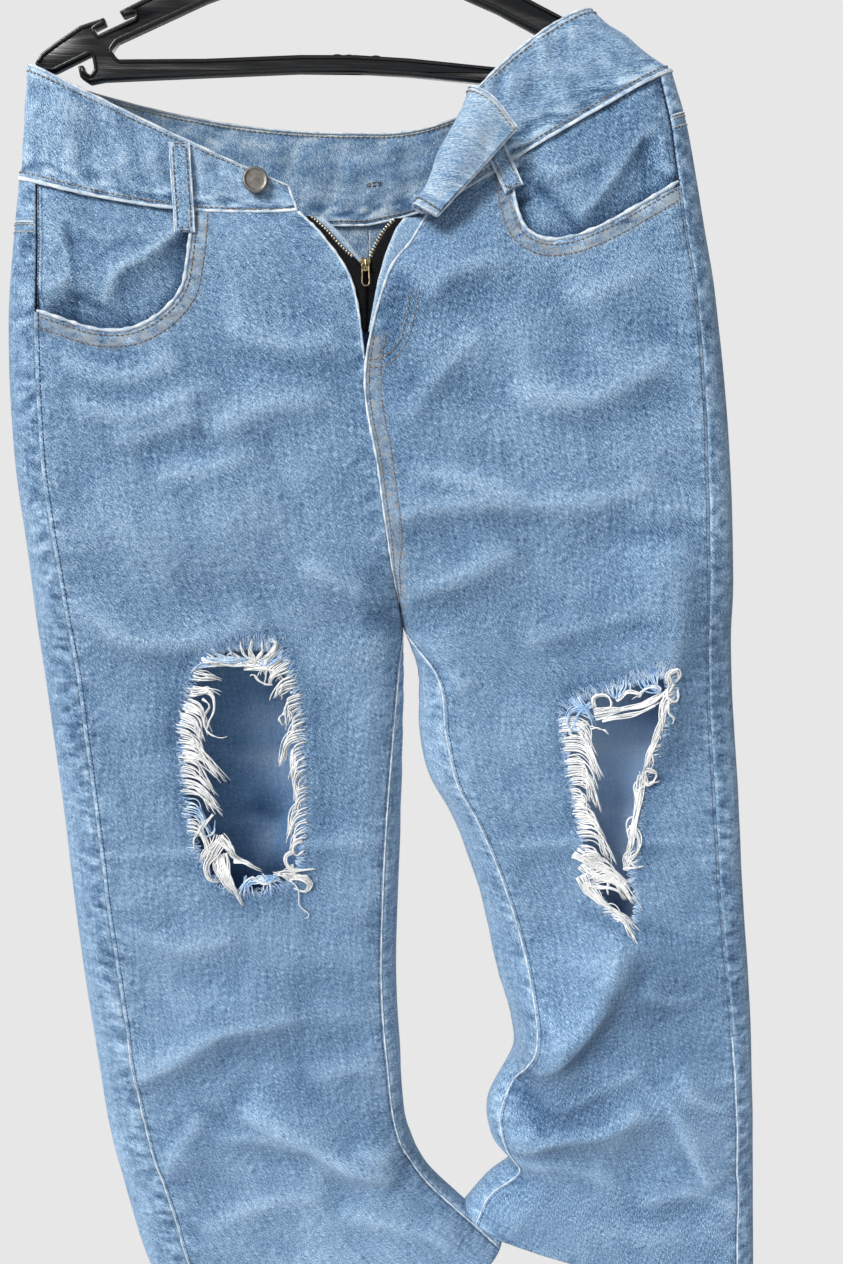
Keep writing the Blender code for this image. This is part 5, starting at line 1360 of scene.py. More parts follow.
def seam_lines():
    """Every sewn line: (name of its thread or edge, path, normals, width)."""
    lines = []

    def sewn(kind, path_and_normals, width=1.0):
        lines.append((kind, *path_and_normals, width))

    for side, tube in TUBES.items():
        down = np.linspace(2, tube.last - 1, 420)
        sewn("edge", on_seam(tube, down[down > BELOW_KNEE], 1.0, -0.7, 0.1), 0.75)
        sewn("dark", on_seam(tube, down, 1.0, -3.2))
        leg = np.linspace(318, tube.last - 1, 300)
        sewn("edge", on_seam(tube, leg, 0.0, 1.2, 0.1), 0.75)
        sewn("dark", on_seam(tube, leg, 0.0, 4.0))
        sewn("edge", on_seam(tube, np.full(300, 1.2), np.linspace(0.0, 3.0, 300), 0.0, 0.2), 0.8)
        back = np.linspace(1.02, 2.97, 200)
        for offset in (2.4, 8.0):
            sewn("beige", on_seam(tube, yoke_drop(back) + offset, back))
        sewn("edge", on_seam(tube, yoke_drop(back) + 0.4, back, 0.0, 0.1), 0.6)
        if side == "left":
            for offset in (-2.5, -8.0):
                sewn("beige", on_seam(tube, np.linspace(YOKE_CENTRE, 300, 150), 3.0, offset))
        for offset in (3.4, 10.6):
            outline = smooth_path(POCKETS[side][:-1], 170)
            shown = grown(np.concatenate([outline, [POCKETS[side][-1]]]), offset)[:-1]
            drop, at = tube.find(*shown.T)
            kept = (at < 0.985) & (drop > 3)
            sewn("brown", on_seam(tube, drop[kept], at[kept]))
        drop, at = tube.find(*smooth_path(POCKETS[side][:-1], 220).T)
        kept = (at < 0.99) & (drop > 1)
        sewn("edge", on_seam(tube, drop[kept], at[kept], 0.0, 0.1), 1.25)
        for grow in (3.0, 8.5):
            corners = pocket_outline(side, grow)[[0, 4, 3, 2, 1]]
            rim = np.concatenate([a + (b - a) * np.linspace(0, 1, 60)[:, None]
                                  for a, b in zip(corners[:-1], corners[1:])])
            sewn("beige", over_cloth(tube, *rim.T, LAY_GAP + 1.5, "back"))
    right = TUBES["right"]
    for offset in (3.0, 8.6):
        sewn("brown", on_seam(right, np.linspace(RISE_START, 300, 160), 0.0, offset))
    sewn("edge", on_seam(right, np.linspace(4, 300, 260), 0.0, 0.5, 0.25), 0.95)
    sewn("edge", on_seam(TUBES["left"], np.linspace(4, 130, 120), 0.0, 0.5, 0.2), 0.9)
    for offset in (0.0, 5.4):
        curve = smooth_path([(35 + offset, -272), (31 + offset, -290), (26 + offset, -306),
                             (14 + offset * 0.4, -317 - offset), (4, -318 - offset)], 80)
        sewn("brown", over_cloth(right, *curve.T, 0.0))
    points = band_grid(59)
    normals = grid_normals(points, 1.0)
    for row in (3, 55):
        sewn("brown", (points[row, 1:], normals[row, 1:]))
    for rim in np.s_[0, :], np.s_[-1, :], np.s_[:, -1], np.s_[:, 0]:
        sewn("edge", (points[rim], normals[rim]), 0.9)
    sewn("brown", (points[:, -5], normals[:, -5]))
    wrong, outward = points - normals * 2.9, -normals
    sewn("beige", (wrong[2, 30:], outward[2, 30:]))
    sewn("edge", (wrong[0], outward[0]), 0.7)
    sewn("edge", (wrong[-1], outward[-1]), 0.9)
    sewn("brown", (wrong[55, 30:], outward[55, 30:]))
    sewn("brown", thread_bar(wrong, outward))
    for loop in LOOPS:
        grid, up = loop_grid(loop, 13, 60)
        for column in (2, 10):
            sewn("brown", (grid[3:-3, column], up[3:-3, column]))
        for column in (0, 12):
            sewn("edge", (grid[:, column] - up[:, column] * 0.4, up[:, column]), 0.55)
        for row in (1, 3, -2, -4):
            sewn("brown", (grid[row, 2:-2], up[row, 2:-2]))
    return lines


def thread_bar(wrong, outward):
    """A small loop of stitches, an ellipse 11 x 2.2 mm, on the wrong side of the band behind."""
    gap = np.where(wrong[..., 1] > 0, np.hypot(wrong[..., 0] - BAR_AT[0], wrong[..., 2] - BAR_AT[1]), np.inf)
    row, column = np.unravel_index(gap.argmin(), gap.shape)
    along = unit(wrong[row, column + 1] - wrong[row, column - 1])
    up = unit(wrong[row - 3, column] - wrong[row + 3, column])
    turn = np.linspace(0, 2 * math.pi, 60)[:, None]
    out = outward[row, column]
    bar = wrong[row, column] + along * 5.5 * np.cos(turn) + up * 1.1 * np.sin(turn) + out * 0.3
    return bar, np.broadcast_to(out, bar.shape)


def make_seams(settings):
    """All the sewing: thread capsules by colour, and the cords of the rubbed edges."""
    parts = {}
    for seed, (kind, path, normals, width) in enumerate(seam_lines()):
        if kind == "edge":
            made = edge_cord(path, normals, width, seed)
        else:
            made = stitches(path, normals, settings.stitch_length / MM, settings.stitch_gap / MM)
        parts.setdefault(kind, []).append(made)
    for kind, some in parts.items():
        if kind == "edge":
            piece("worn_edges", *joined(some), "worn_edge", "denim")
        else:
            piece(f"stitching_{kind}", *joined(some), f"{kind}_thread", "denim")


# The frayed threads of the rips.  All points are mm right of and above the middle of the rip's
# top edge.  CUTS is where the cloth ends.  A sweep's threads leave that edge side by side, from
# its first root to its last, bend down and close to a tip; a tress follows a path.
RIP_TOP = {"left": (-92, -544), "right": (200, -576)}
STRANDS, SWEEP_SHARE = 13, 0.78         # threads of a usual bundle, and the share kept of each sweep's
CUTS = {
    "left": [(-1, 18), (-22, 14), (-32, 5), (-39, -6), (-45, -25), (-52, -47), (-53, -71), (-53, -99),
             (-52, -125), (-48, -146), (-41, -170), (-29, -188), (-17, -195), (3, -194), (21, -190),
             (33, -175), (38, -149), (40, -125), (40, -92), (40, -58), (39, -38), (36, -17), (30, 3),
             (18, 16)],
    "right": [(6, 18), (-23, 7), (-38, 1), (-45, -6), (-44, -30), (-40, -53), (-34, -80), (-28, -109),
              (-22, -136), (-15, -157), (-6, -178), (6, -194), (18, -198), (24, -188), (21, -172),
              (17, -158), (19, -145), (18, -126), (18, -101), (22, -72), (26, -45), (31, -20), (35, 4),
              (31, 24)],
}
Sweep = namedtuple("Sweep", "first last tip strands bend blue", defaults=(0.5, False))
SWEEPS = {side: [Sweep(*row) for row in rows] for side, rows in {
    "left": (
        ((-24, 12), (-33, 3), (-13, 3), 12), ((-35, 1), (-41, -12), (-17, -9), 13),
        ((-40, -13), (-44, -24), (-22, -20), 12), ((-44, -24), (-47, -36), (-31, -52), 13, 0.9),
        ((-47, -34), (-51, -46), (-36, -61), 12, 0.8), ((-51, -45), (-53, -60), (-33, -76), 15, 0.6),
        ((-53, -58), (-53, -76), (-20, -97), 18), ((-53, -70), (-52, -92), (-29, -107), 16),
        ((-52, -90), (-51, -108), (-26, -122), 15),
        ((-52, -108), (-50, -126), (-33, -142), 12, 0.5, True),
        ((-50, -124), (-47, -142), (-32, -164), 14), ((17, 15), (29, 5), (12, -7), 14),
        ((26, 9), (33, -6), (16, -17), 15, 0.7), ((33, -5), (36, -20), (20, -27), 14, 0.6),
        ((36, -20), (38, -38), (27, -50), 13, 0.7), ((38, -36), (40, -50), (31, -61), 9, 0.6),
        ((40, -50), (41, -63), (21, -83), 14, 0.6), ((41, -60), (41, -80), (31, -93), 14, 0.6),
        ((41, -78), (41, -98), (34, -112), 13), ((41, -96), (40, -114), (32, -128), 12),
        ((40, -112), (39, -132), (26, -147), 13, 0.4), ((39, -130), (38, -152), (28, -158), 11),
        ((34, -170), (25, -187), (14, -178), 12), ((22, -189), (2, -194), (6, -180), 10, 0.3, True),
        ((-2, -195), (-18, -194), (-10, -180), 9, 0.3, True),
    ),
    "right": (
        ((-30, 4), (-42, -8), (-21, -19), 12, 0.5, True), ((-43, -10), (-44, -27), (-17, -47), 15, 0.9),
        ((-44, -28), (-43, -44), (-14, -66), 18, 0.9), ((-43, -44), (-39, -60), (-15, -75), 16, 0.9),
        ((-39, -58), (-36, -73), (-13, -92), 16, 0.8), ((-36, -71), (-32, -90), (-22, -96), 13, 0.7),
        ((-33, -86), (-28, -104), (-6, -117), 17, 0.6), ((-29, -101), (-25, -121), (2, -142), 17, 0.6),
        ((-25, -120), (-22, -137), (-3, -150), 13, 0.5), ((-22, -134), (-17, -151), (18, -166), 14, 0.5),
        ((-18, -149), (-12, -162), (26, -182), 13, 0.6), ((-6, -180), (0, -187), (28, -204), 12, 0.1),
        ((0, -188), (10, -198), (22, -213), 13, 0.2), ((-15, 8), (6, 17), (-4, 2), 12, 0.4, True),
        ((8, 17), (28, 23), (27, 9), 12, 0.4, True), ((34, 16), (34, -4), (27, -22), 10),
        ((30, -28), (27, -44), (22, -60), 9), ((24, -62), (20, -84), (16, -102), 8),
        ((19, -96), (18, -120), (13, -132), 9), ((18, -124), (20, -146), (10, -150), 9),
    ),
}.items()}
Tress = namedtuple("Tress", "path width strands blue", defaults=(False,))
TRESSES = {side: [Tress(*row) for row in rows] for side, rows in {
    "left": (
        (((-28, -157), (-26, -170), (-19, -188), (-12, -207)), 9, 15),
        (((-30, -160), (-30, -174), (-24, -186), (-18, -197)), 7, 11),
        (((-28, -141), (-32, -150), (-41, -157), (-43, -166)), 7, 10),
        (((-26, -146), (-33, -156), (-40, -168), (-38, -180), (-28, -182)), 6, 9),
        (((-32, -123), (-42, -134), (-48, -143), (-49, -151), (-54, -151)), 2.2, 4),
        (((-41, -127), (-38, -142), (-33, -139), (-31, -127)), 2, 4, True),
        (((-28, -142), (-20, -152), (-16, -160), (-8, -166)), 7, 11),
        (((-18, -165), (-8, -166), (-2, -170), (5, -175)), 3, 6),
        (((32, -155), (24, -161), (26, -171), (39, -174), (49, -173)), 3, 6),
        (((26, -180), (32, -180), (43, -187), (39, -194), (29, -191)), 5, 8),
        (((28, -169), (31, -179), (41, -180), (43, -187)), 4, 7),
        (((38, -147), (31, -151), (33, -160), (40, -156)), 2.4, 5),
        (((-13, -192), (-6, -183), (3, -182), (11, -179), (19, -184), (28, -191)), 5, 8, True),
        (((-11, -188), (-3, -179), (5, -185), (14, -182), (24, -186)), 4, 8),
        (((-2, -185), (4, -178), (9, -184), (15, -178), (21, -185)), 3, 5, True),
        (((-26, 6), (-12, 4), (4, 5), (14, 3)), 7, 13),
        (((-30, 8), (-20, 9), (0, 8), (8, 9)), 5, 8, True),
        (((-1, 3), (12, 1), (22, -3), (28, -12)), 8, 12), (((7, 5), (0, 12), (-3, 24)), 3, 5),
        (((7, 5), (5, 14), (6, 25)), 3, 5), (((8, 5), (13, 14), (14, 24)), 3, 5),
        (((9, 5), (20, 11), (24, 20), (17, 24)), 4, 6), (((3, 4), (-8, 12), (-13, 22)), 3, 5, True),
        (((10, 4), (22, 6), (30, 12)), 3, 5, True), (((-10, 4), (-18, 12), (-25, 18)), 4, 6, True),
        (((-22, 4), (-32, 4), (-42, -3)), 4, 6, True), (((-12, 3), (-4, 10), (-9, 14), (-16, 8)), 2, 4),
        (((-36, -17), (-27, -20), (-25, -30), (-30, -42), (-33, -56)), 3, 5),
        (((-34, -24), (-28, -29), (-32, -36), (-32, -51), (-23, -56), (-13, -54)), 1.1, 2),
        (((20, -14), (10, -11), (6, -5), (0, -8)), 1.1, 2), (((30, -35), (24, -41), (28, -50)), 0.8, 2),
        (((26, -183), (33, -190), (33, -205), (41, -216), (38, -220), (36, -218)), 0.4, 1),
    ),
    "right": (
        (((-32, -130), (-23, -135), (-10, -145), (0, -153), (13, -164)), 9, 14),
        (((-26, -142), (-14, -152), (2, -158), (13, -166), (19, -178)), 6, 9),
        (((-14, -164), (-4, -178), (8, -186), (24, -196)), 5, 8),
        (((-26, -152), (-18, -166), (-8, -176), (2, -184)), 8, 11),
        (((-23, -159), (-11, -162), (3, -165), (15, -175)), 3, 6),
        (((-2, -158), (-3, -165), (-1, -171)), 2, 4), (((6, -158), (11, -161), (13, -157)), 2, 4),
        (((-22, -9), (-8, -5), (10, -1), (25, 7), (34, 16)), 7, 13),
        (((-16, -13), (4, -8), (24, 1), (32, 9)), 3, 6),
        (((34, 17), (31, 27), (38, 30), (40, 21), (35, 16)), 3.4, 6),
        (((35, 18), (32, 6), (39, 3), (41, 14)), 4, 7),
        (((-22, -4), (-23, 5), (-13, 7), (-9, -1), (-20, -8)), 3.4, 6),
        (((-6, 3), (2, 10), (12, 9), (6, 3)), 3, 5), (((10, 7), (18, 15), (27, 14), (20, 8)), 3, 5),
        (((-30, -3), (-40, -7), (-43, -18), (-34, -23), (-29, -15)), 4, 7, True),
        (((-24, -1), (-35, -10), (-36, -22), (-27, -24)), 4, 7, True),
        (((-26, -17), (-38, -18), (-40, -26), (-30, -27)), 3, 5),
        (((31, 4), (27, -20), (22, -43), (20, -64)), 5, 9),
        (((20, -62), (18, -90), (14, -116), (12, -136), (11, -149)), 5, 9),
        (((14, -106), (20, -118), (19, -132), (13, -136), (12, -122)), 4, 7),
        (((20, -58), (25, -71), (36, -68)), 4, 7),
        (((22, -56), (31, -60), (28, -70), (22, -66)), 2.4, 4),
        (((12, -134), (17, -142), (23, -148)), 4, 6), (((10, -147), (18, -146), (27, -144)), 2.4, 4),
        (((33, 6), (33, -5), (38, -11), (36, -16)), 1.2, 3),
        (((-24, -20), (-18, -20), (-9, -25)), 1.6, 3), (((25, -20), (28, -25), (30, -30)), 0.8, 2),
    ),
}.items()}


def cut_edge(side):
    """The line where a front's cloth ends round its rip, 400 points of (x, z)."""
    return smooth_path(CUTS[side], 400, closed=True) + RIP_TOP[side]


def sweep_strands(side, sweep, number, rng):
    """Threads of a sweep, (x, z), height and radius: a curve from each root into the rip, turning
    down and ending near the tip with the others, those of the middle on top."""
    t = np.linspace(0, 1, 15)[None, :, None]
    share = ((np.arange(number) + rng.uniform(0.1, 0.9, number)) / number)[:, None]
    first, last, tip = (np.array(point, float) + RIP_TOP[side] for point in sweep[:3])
    edge = cut_edge(side)
    root = first + (last - first) * (0.5 + (share - 0.5) * 0.78)
    nearest = np.argmin(np.linalg.norm(edge[None] - root[:, None], axis=-1), axis=1)
    root = edge[nearest]
    ahead = unit(np.roll(edge, -3, axis=0) - np.roll(edge, 3, axis=0))[nearest]
    inward = np.stack([ahead[:, 1], -ahead[:, 0]], axis=-1)
    inward = inward * np.sign(np.sum(inward * (edge.mean(axis=0) - edge)[nearest], axis=1))[:, None]
    root = root - inward * rng.uniform(-1.5, 4.0, (number, 1))
    reach = np.linalg.norm(tip - root, axis=1)[:, None]
    back = unit(first - last)
    end = tip + rng.normal(0, 1.5, (number, 2))
    end = end + unit(tip - root) * rng.uniform(-0.3, 0.05, (number, 1)) * reach
    end = end + back * (share - 0.5) * 2.2
    early = root + inward * reach * (0.25 + 0.35 * sweep.bend)
    early = early + back * reach * 0.18 * sweep.bend * (1 - share)
    late = end + unit(back * sweep.bend - unit(tip - root) * 0.8) * reach * 0.35
    line = ((1 - t) ** 3 * root[:, None] + 3 * t * (1 - t) ** 2 * early[:, None]
            + 3 * t ** 2 * (1 - t) * late[:, None] + t ** 3 * end[:, None])
    each = (number, 1, 1)
    size = rng.uniform(0.2, 1.1, each)
    wave = np.sin(t * rng.uniform(4, 11, each) + rng.uniform(0, 6.28, each))
    line = line + inward[:, None] * size * wave
    t = t[..., 0]
    height = 0.1 + 2.8 * np.sin(math.pi * t ** 0.8) ** 0.7 * (0.55 + 0.45 * np.sin(math.pi * share))
    height = height + rng.uniform(-1.3, 0.9, (number, 1))
    radius = rng.uniform(0.42, 0.66, (number, 1)) * (1 - 0.5 * t ** 5)
    return line, np.clip(height, -1.4, 3.8), radius


def strands_of(middle, width, number, rng):
    """Strands of a lock along its middle line: side by side at the root, turning about each
    other and closing up to a ragged point.  Returns (x, z), height over the cloth and radius."""
    t = np.linspace(0, 1, len(middle))
    ahead = unit(np.gradient(middle, axis=0))
    aside = np.stack([-ahead[:, 1], ahead[:, 0]], axis=-1)
    place = (np.arange(number) + rng.uniform(0.2, 0.8, number)) / number - 0.5
    step = t[None] * rng.uniform(0.74, 1.0, number)[:, None]
    turn = rng.normal(0, 1.0) * math.pi * step + rng.normal(0, 0.35, number)[:, None]
    spread = width * (1 - 0.72 * step ** 1.2) * 1.35
    off = place[:, None] * np.cos(turn) * spread + 0.5 * np.sin(step * rng.uniform(6, 15, number)[:, None]
                                                                 + rng.uniform(0, 6.28, number)[:, None])
    strands = points_at(step, t, middle) + points_at(step, t, aside) * off[..., None]
    height = 0.2 + 2.0 * np.sin(math.pi * np.clip(step * 0.86 + 0.1, 0, 1))
    height = height + place[:, None] * np.sin(turn) * 2.4
    height = height + rng.uniform(-0.4, 0.9, number)[:, None]
    radius = rng.uniform(0.40, 0.58, number)[:, None] * (1 - 0.5 * t[None] ** 5)
    return strands, np.clip(height, -1.4, 3.6), radius


def make_fringe(side, settings):
    """The frayed threads of a rip: sweeps all round its edge, tresses and single threads, and
    short dyed hairs that stand out from the cloth's cut edge."""
    tube = TUBES[side]
    rng = np.random.default_rng(5 if side == "left" else 9)
    share = SWEEP_SHARE * settings.strands / STRANDS
    for blue in (False, True):
        made = [sweep_strands(side, sweep, max(2, round(sweep.strands * share)), rng)
                for sweep in SWEEPS[side] if sweep.blue == blue]
        made += [strands_of(smooth_path(tress.path, 15) + RIP_TOP[side], tress.width, tress.strands, rng)
                 for tress in TRESSES[side] if tress.blue == blue]
        shapes = [line.shape[:2] for line, _, _ in made]
        strands, height, radius = (np.concatenate([np.broadcast_to(part, shape + part.shape[2:])
                                                   for shape, part in zip(shapes, parts)])
                                   for parts in zip(*made))
        points, _ = over_cloth(tube, strands[..., 0], strands[..., 1], height)
        parts = [tubes_along(points, radius, sides=5)]
        if blue:
            parts.append(cut_hairs(side, tube, int(length_of(cut_edge(side)) * settings.fuzz), rng))
        points, faces = joined(parts)
        piece(f"fringe_{'dyed' if blue else 'threads'}_{side}", points, faces,
              "frayed_warp" if blue else "frayed_weft", "frayed_cotton", [] if blue else [f"fringe_{side}"])


def cut_hairs(side, tube, count, rng):
    """Short hairs that stand out from the cloth's cut edge, more and longer ones at the top."""
    cut = cut_edge(side)
    likely = 1.0 + 2.0 * np.exp(-(cut[:, 1].max() - cut[:, 1]) / 14)
    index = rng.choice(400, count, p=likely / likely.sum())
    ahead = unit(np.roll(cut, -3, axis=0) - np.roll(cut, 3, axis=0))[index]
    out = np.stack([-ahead[:, 1], ahead[:, 0]], axis=-1)
    out = out * np.sign(np.sum(out * (cut - cut.mean(axis=0))[index], axis=1))[:, None]
    start = cut[index] - out * rng.uniform(0, 4.5, count)[:, None]
    start = start + ahead * rng.normal(0, 0.6, count)[:, None]
    size = (rng.uniform(2.5, 7.0, count) * (1 + 0.35 * (likely[index] - 1)))[:, None]
    way = out + ahead * rng.normal(0.0, 0.35, count)[:, None] + np.array([0, 0.25])
    bend = ahead * rng.normal(0, 1.3, count)[:, None]
    t = np.linspace(0, 1, 6)[None, :, None]
    hairs = start[:, None] + way[:, None] * size[:, None] * t + bend[:, None] * t ** 2
    height = 0.1 + rng.uniform(0.2, 1.8, count)[:, None] * t[..., 0]
    points, _ = over_cloth(tube, hairs[..., 0], hairs[..., 1], height)
    return tubes_along(points, 0.27 * (1 - 0.5 * t[..., 0]) + 0 * points[..., 0], sides=4)


# ---------------------------------------------------------------- stage
FLOOR_GAP = 340.0               # floor below the lowest hem
CORNERS = 96                    # of the round floor


def make_stage(settings):
    """A pale floor well below the hems, an even pale room, a soft sun from the upper left and a
    lamp that the hard pieces mirror; and the camera."""
    low = CAD_BOX[0][2] / MM - FLOOR_GAP
    angle = np.linspace(0, 2 * math.pi, CORNERS, endpoint=False)
    disc = np.stack([1500 * np.cos(angle), 1100 * np.sin(angle) - 790, np.full(CORNERS, low)], axis=-1)
    floor = piece("floor", disc, np.arange(CORNERS)[None], "floor", "", body=None)
    world = bpy.data.worlds.new("studio")
    bpy.context.scene.world = world
    world.use_nodes = True
    tree = world.node_tree
    tree.nodes.clear()
    room = add(tree, "ShaderNodeBackground", {"Color": (0.95, 0.975, 1.0, 1.0),
                                              "Strength": settings.room_strength})
    wall = add(tree, "ShaderNodeBackground", {"Color": (*settings.wall_colour, 1.0), "Strength": 1.0})
    seen = add(tree, "ShaderNodeLightPath", output="Is Camera Ray")
    both = add(tree, "ShaderNodeMixShader", {0: seen, 1: room, 2: wall})
    add(tree, "ShaderNodeOutputWorld", {"Surface": both})
    target = Vector((0.0, 0.0, -0.6))
    for name, kind, place, size, power in (("key", "SUN", (-1.0, -0.95, 0.45), 22.0, settings.key_strength),
                                           ("fill", "AREA", (0.3, -2.3, -0.2), 1.2, settings.fill_power),
                                           ("back", "AREA", (0.9, 2.3, 0.1), 1.6, settings.fill_power * 3)):
        lamp = bpy.data.lights.new(name, kind)
        lamp.energy = power
        if kind == "SUN":
            lamp.angle = math.radians(size)
        else:
            lamp.size = size
        thing = bpy.data.objects.new(name, lamp)
        thing.location = place
        thing.rotation_euler = (target - Vector(place)).to_track_quat("-Z", "Y").to_euler()
        bpy.context.scene.collection.objects.link(thing)
    lens = bpy.data.cameras.new("camera")
    lens.lens, lens.sensor_width, lens.sensor_fit = 26.0, 36.0, "AUTO"
    lens.clip_start = 0.01
    camera = bpy.data.objects.new("camera", lens)
    camera.location = (-0.0179, -0.7012, -0.337)
    camera.rotation_euler = (math.radians(75.0), 0.0, math.radians(-5.14))
    bpy.context.scene.collection.objects.link(camera)
    bpy.context.scene.camera = camera
    bpy.context.scene.view_settings.view_transform = "Standard"


# ---------------------------------------------------------------- the add-on
class JeansClothSettings(bpy.types.PropertyGroup):
    """Thickness and fineness of the cloth."""
    cloth_thickness: FloatProperty(name="Denim thickness", description="Thickness of one layer of denim",
                                   default=1.3 * MM, min=0.0004, max=0.003, unit="LENGTH")
    band_thickness: FloatProperty(name="Waistband thickness", description="Thickness of the waistband",
                                  default=2.6 * MM, min=0.001, max=0.005, unit="LENGTH")
    front_columns: IntProperty(name="Front columns", description="Squares across a front panel",
                               default=84, min=20, max=200)
    front_rows: IntProperty(name="Front rows", description="Squares down a front panel",
                            default=300, min=60, max=600)
    back_columns: IntProperty(name="Back columns", description="Squares across a back panel",
                              default=84, min=20, max=200)
    back_rows: IntProperty(name="Back rows", description="Squares down a back panel",
                           default=260, min=60, max=600)


class JeansStageSettings(bpy.types.PropertyGroup):
    """Light and backdrop."""
    wall_colour: FloatVectorProperty(name="Wall", description="Colour of the plain background",
                                     subtype="COLOR", size=3, default=(0.80, 0.80, 0.80), min=0.0, max=1.0)
    key_strength: FloatProperty(name="Key light", description="Strength of the main light, from upper left",
                                default=3.5, min=0.0)
    fill_power: FloatProperty(name="Fill light", description="Power of the light from the right",
                              default=5.0, min=0.0, unit="POWER")
    room_strength: FloatProperty(name="Room light", description="Strength of the even light from all round",
                                 default=0.30, min=0.0)


class JeansSewingSettings(bpy.types.PropertyGroup):
    """Thread, fringe and the fineness of both."""
    stitch_length: FloatProperty(name="Stitch length", description="Length of one stitch",
                                 default=2.7 * MM, min=0.001, max=0.006, unit="LENGTH")
    stitch_gap: FloatProperty(name="Stitch gap", description="Cloth between two stitches",
                              default=0.9 * MM, min=0.0002, max=0.004, unit="LENGTH")
    strands: IntProperty(name="Strands", description="Frayed threads in a bundle", default=STRANDS,
                         min=3, max=30)
    fuzz: FloatProperty(name="Fuzz", description="Short loose fibres for each mm round a rip",
                        default=2.4, min=0.0, max=6.0)


class OBJECT_OT_jeans_stage(bpy.types.Operator):
    """Add the backdrop, the lights and the camera"""
    bl_idname = "jeans.stage"
    bl_label = "Stage"

    def execute(self, context):
        make_stage(context.scene.jeans_stage)
        return {"FINISHED"}


class OBJECT_OT_jeans_fronts(bpy.types.Operator):
    """Make both front panels with their pocket mouths and rips"""
    bl_idname = "jeans.fronts"
    bl_label = "Fronts"

    def execute(self, context):
        for side in TUBES:
            make_front(side, context.scene.jeans_cloth)
        return {"FINISHED"}


class OBJECT_OT_jeans_backs(bpy.types.Operator):
    """Make both back panels and yokes"""
    bl_idname = "jeans.backs"
    bl_label = "Backs and yokes"

    def execute(self, context):
        for side in TUBES:
            make_back(side, context.scene.jeans_cloth)
            make_yoke(side, context.scene.jeans_cloth)
        return {"FINISHED"}


class OBJECT_OT_jeans_waistband(bpy.types.Operator):
    """Make the waistband with its folded-back end"""
    bl_idname = "jeans.waistband"
    bl_label = "Waistband"

    def execute(self, context):
        make_waistband(context.scene.jeans_cloth)
        return {"FINISHED"}


class OBJECT_OT_jeans_pockets(bpy.types.Operator):
    """Make the facings of the front pockets and the patch pockets behind"""
    bl_idname = "jeans.pockets"
    bl_label = "Pockets"

    def execute(self, context):
        for side in TUBES:
            make_facing(side)
            make_back_pocket(side)
        return {"FINISHED"}


class OBJECT_OT_jeans_loops(bpy.types.Operator):
    """Make the belt loops"""
    bl_idname = "jeans.belt_loops"
    bl_label = "Belt loops"

    def execute(self, context):
        make_loops()
        return {"FINISHED"}


class OBJECT_OT_jeans_zip(bpy.types.Operator):
    """Make the open fly: tapes, teeth, shield, facing and slider"""
    bl_idname = "jeans.zip"
    bl_label = "Fly and zip"

    def execute(self, context):
        make_zip()
        return {"FINISHED"}


class OBJECT_OT_jeans_pull(bpy.types.Operator):
    """Make the slider's pull, which swings"""
    bl_idname = "jeans.pull_tab"
    bl_label = "Pull tab"

    def execute(self, context):
        make_pull_tab()
        return {"FINISHED"}


class OBJECT_OT_jeans_button(bpy.types.Operator):
    """Make the tack button"""
    bl_idname = "jeans.button"
    bl_label = "Button"

    def execute(self, context):
        make_button()
        return {"FINISHED"}


class OBJECT_OT_jeans_seams(bpy.types.Operator):
    """Sew: thread along every seam, and the rubbed edges"""
    bl_idname = "jeans.seams"
    bl_label = "Stitching and edges"

    def execute(self, context):
        make_seams(context.scene.jeans_sewing)
        return {"FINISHED"}


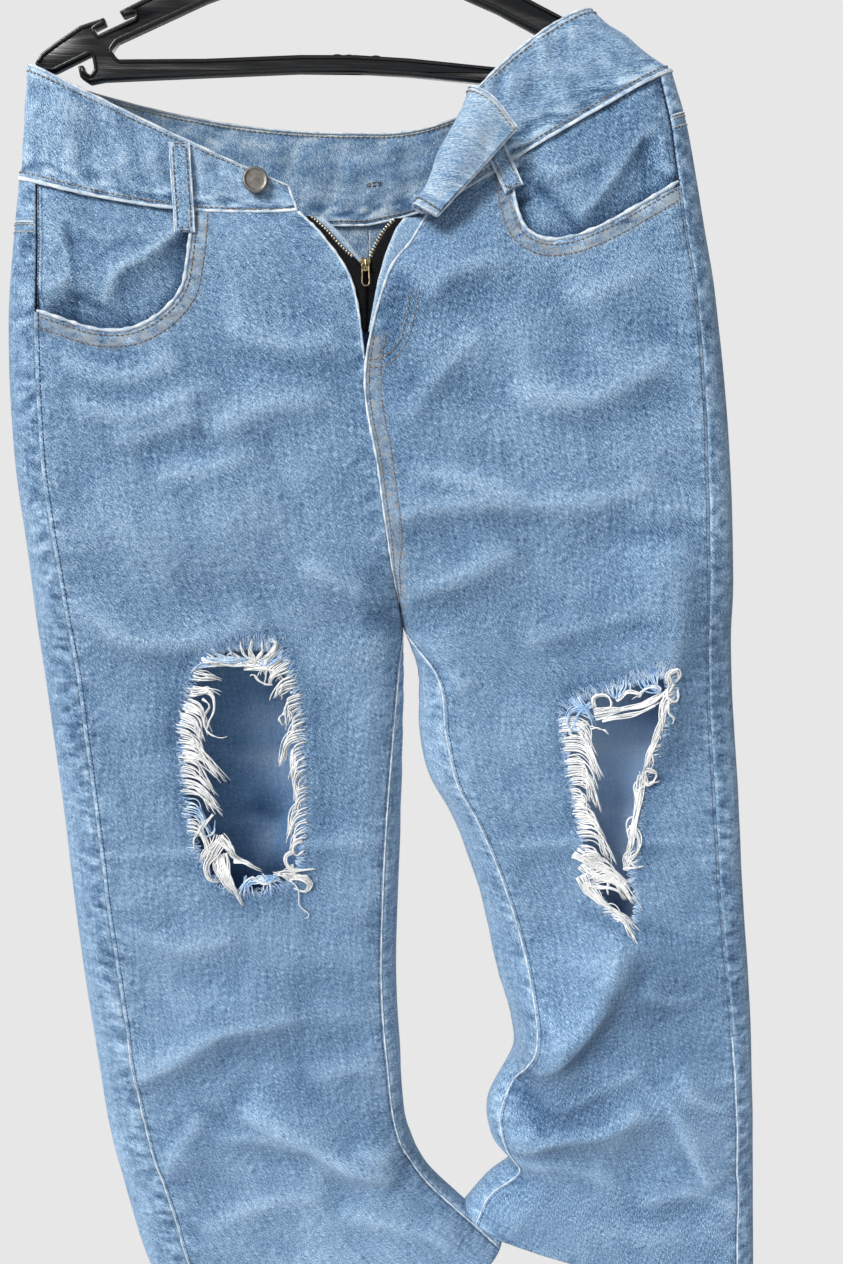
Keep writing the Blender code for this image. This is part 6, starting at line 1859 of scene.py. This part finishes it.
class OBJECT_OT_jeans_fringes(bpy.types.Operator):
    """Fray the rips"""
    bl_idname = "jeans.fringes"
    bl_label = "Frayed rips"

    def execute(self, context):
        for side in TUBES:
            make_fringe(side, context.scene.jeans_sewing)
        return {"FINISHED"}


class OBJECT_OT_jeans_hanger(bpy.types.Operator):
    """Make the hanger"""
    bl_idname = "jeans.hanger"
    bl_label = "Hanger"

    def execute(self, context):
        make_hanger()
        return {"FINISHED"}


OPERATORS = (OBJECT_OT_jeans_stage, OBJECT_OT_jeans_fronts, OBJECT_OT_jeans_backs, OBJECT_OT_jeans_waistband,
             OBJECT_OT_jeans_pockets, OBJECT_OT_jeans_loops, OBJECT_OT_jeans_zip, OBJECT_OT_jeans_pull,
             OBJECT_OT_jeans_button, OBJECT_OT_jeans_seams, OBJECT_OT_jeans_fringes, OBJECT_OT_jeans_hanger)
GROUPS = {"jeans_cloth": JeansClothSettings, "jeans_sewing": JeansSewingSettings,
          "jeans_stage": JeansStageSettings}


class VIEW3D_PT_jeans(bpy.types.Panel):
    """Sizes, and a button for each group of pieces"""
    bl_idname = "VIEW3D_PT_jeans"
    bl_label = "Ripped jeans"
    bl_space_type = "VIEW_3D"
    bl_region_type = "UI"
    bl_category = "Jeans"

    def draw(self, context):
        for name, group in GROUPS.items():
            box = self.layout.box()
            for key in group.__annotations__:
                box.prop(getattr(context.scene, name), key)
        for operator in OPERATORS:
            self.layout.operator(operator.bl_idname)


def register():
    """Register the settings, the operators and the panel."""
    for kind in (*GROUPS.values(), *OPERATORS, VIEW3D_PT_jeans):
        bpy.utils.register_class(kind)
    for name, group in GROUPS.items():
        setattr(bpy.types.Scene, name, PointerProperty(type=group))


def unregister():
    """Take everything back out."""
    for name in GROUPS:
        delattr(bpy.types.Scene, name)
    for kind in reversed((*GROUPS.values(), *OPERATORS, VIEW3D_PT_jeans)):
        bpy.utils.unregister_class(kind)


def main():
    """Run every operator in order."""
    register()
    for operator in OPERATORS:
        group, name = operator.bl_idname.split(".")
        getattr(getattr(bpy.ops, group), name)()


if __name__ == "__main__":
    main()
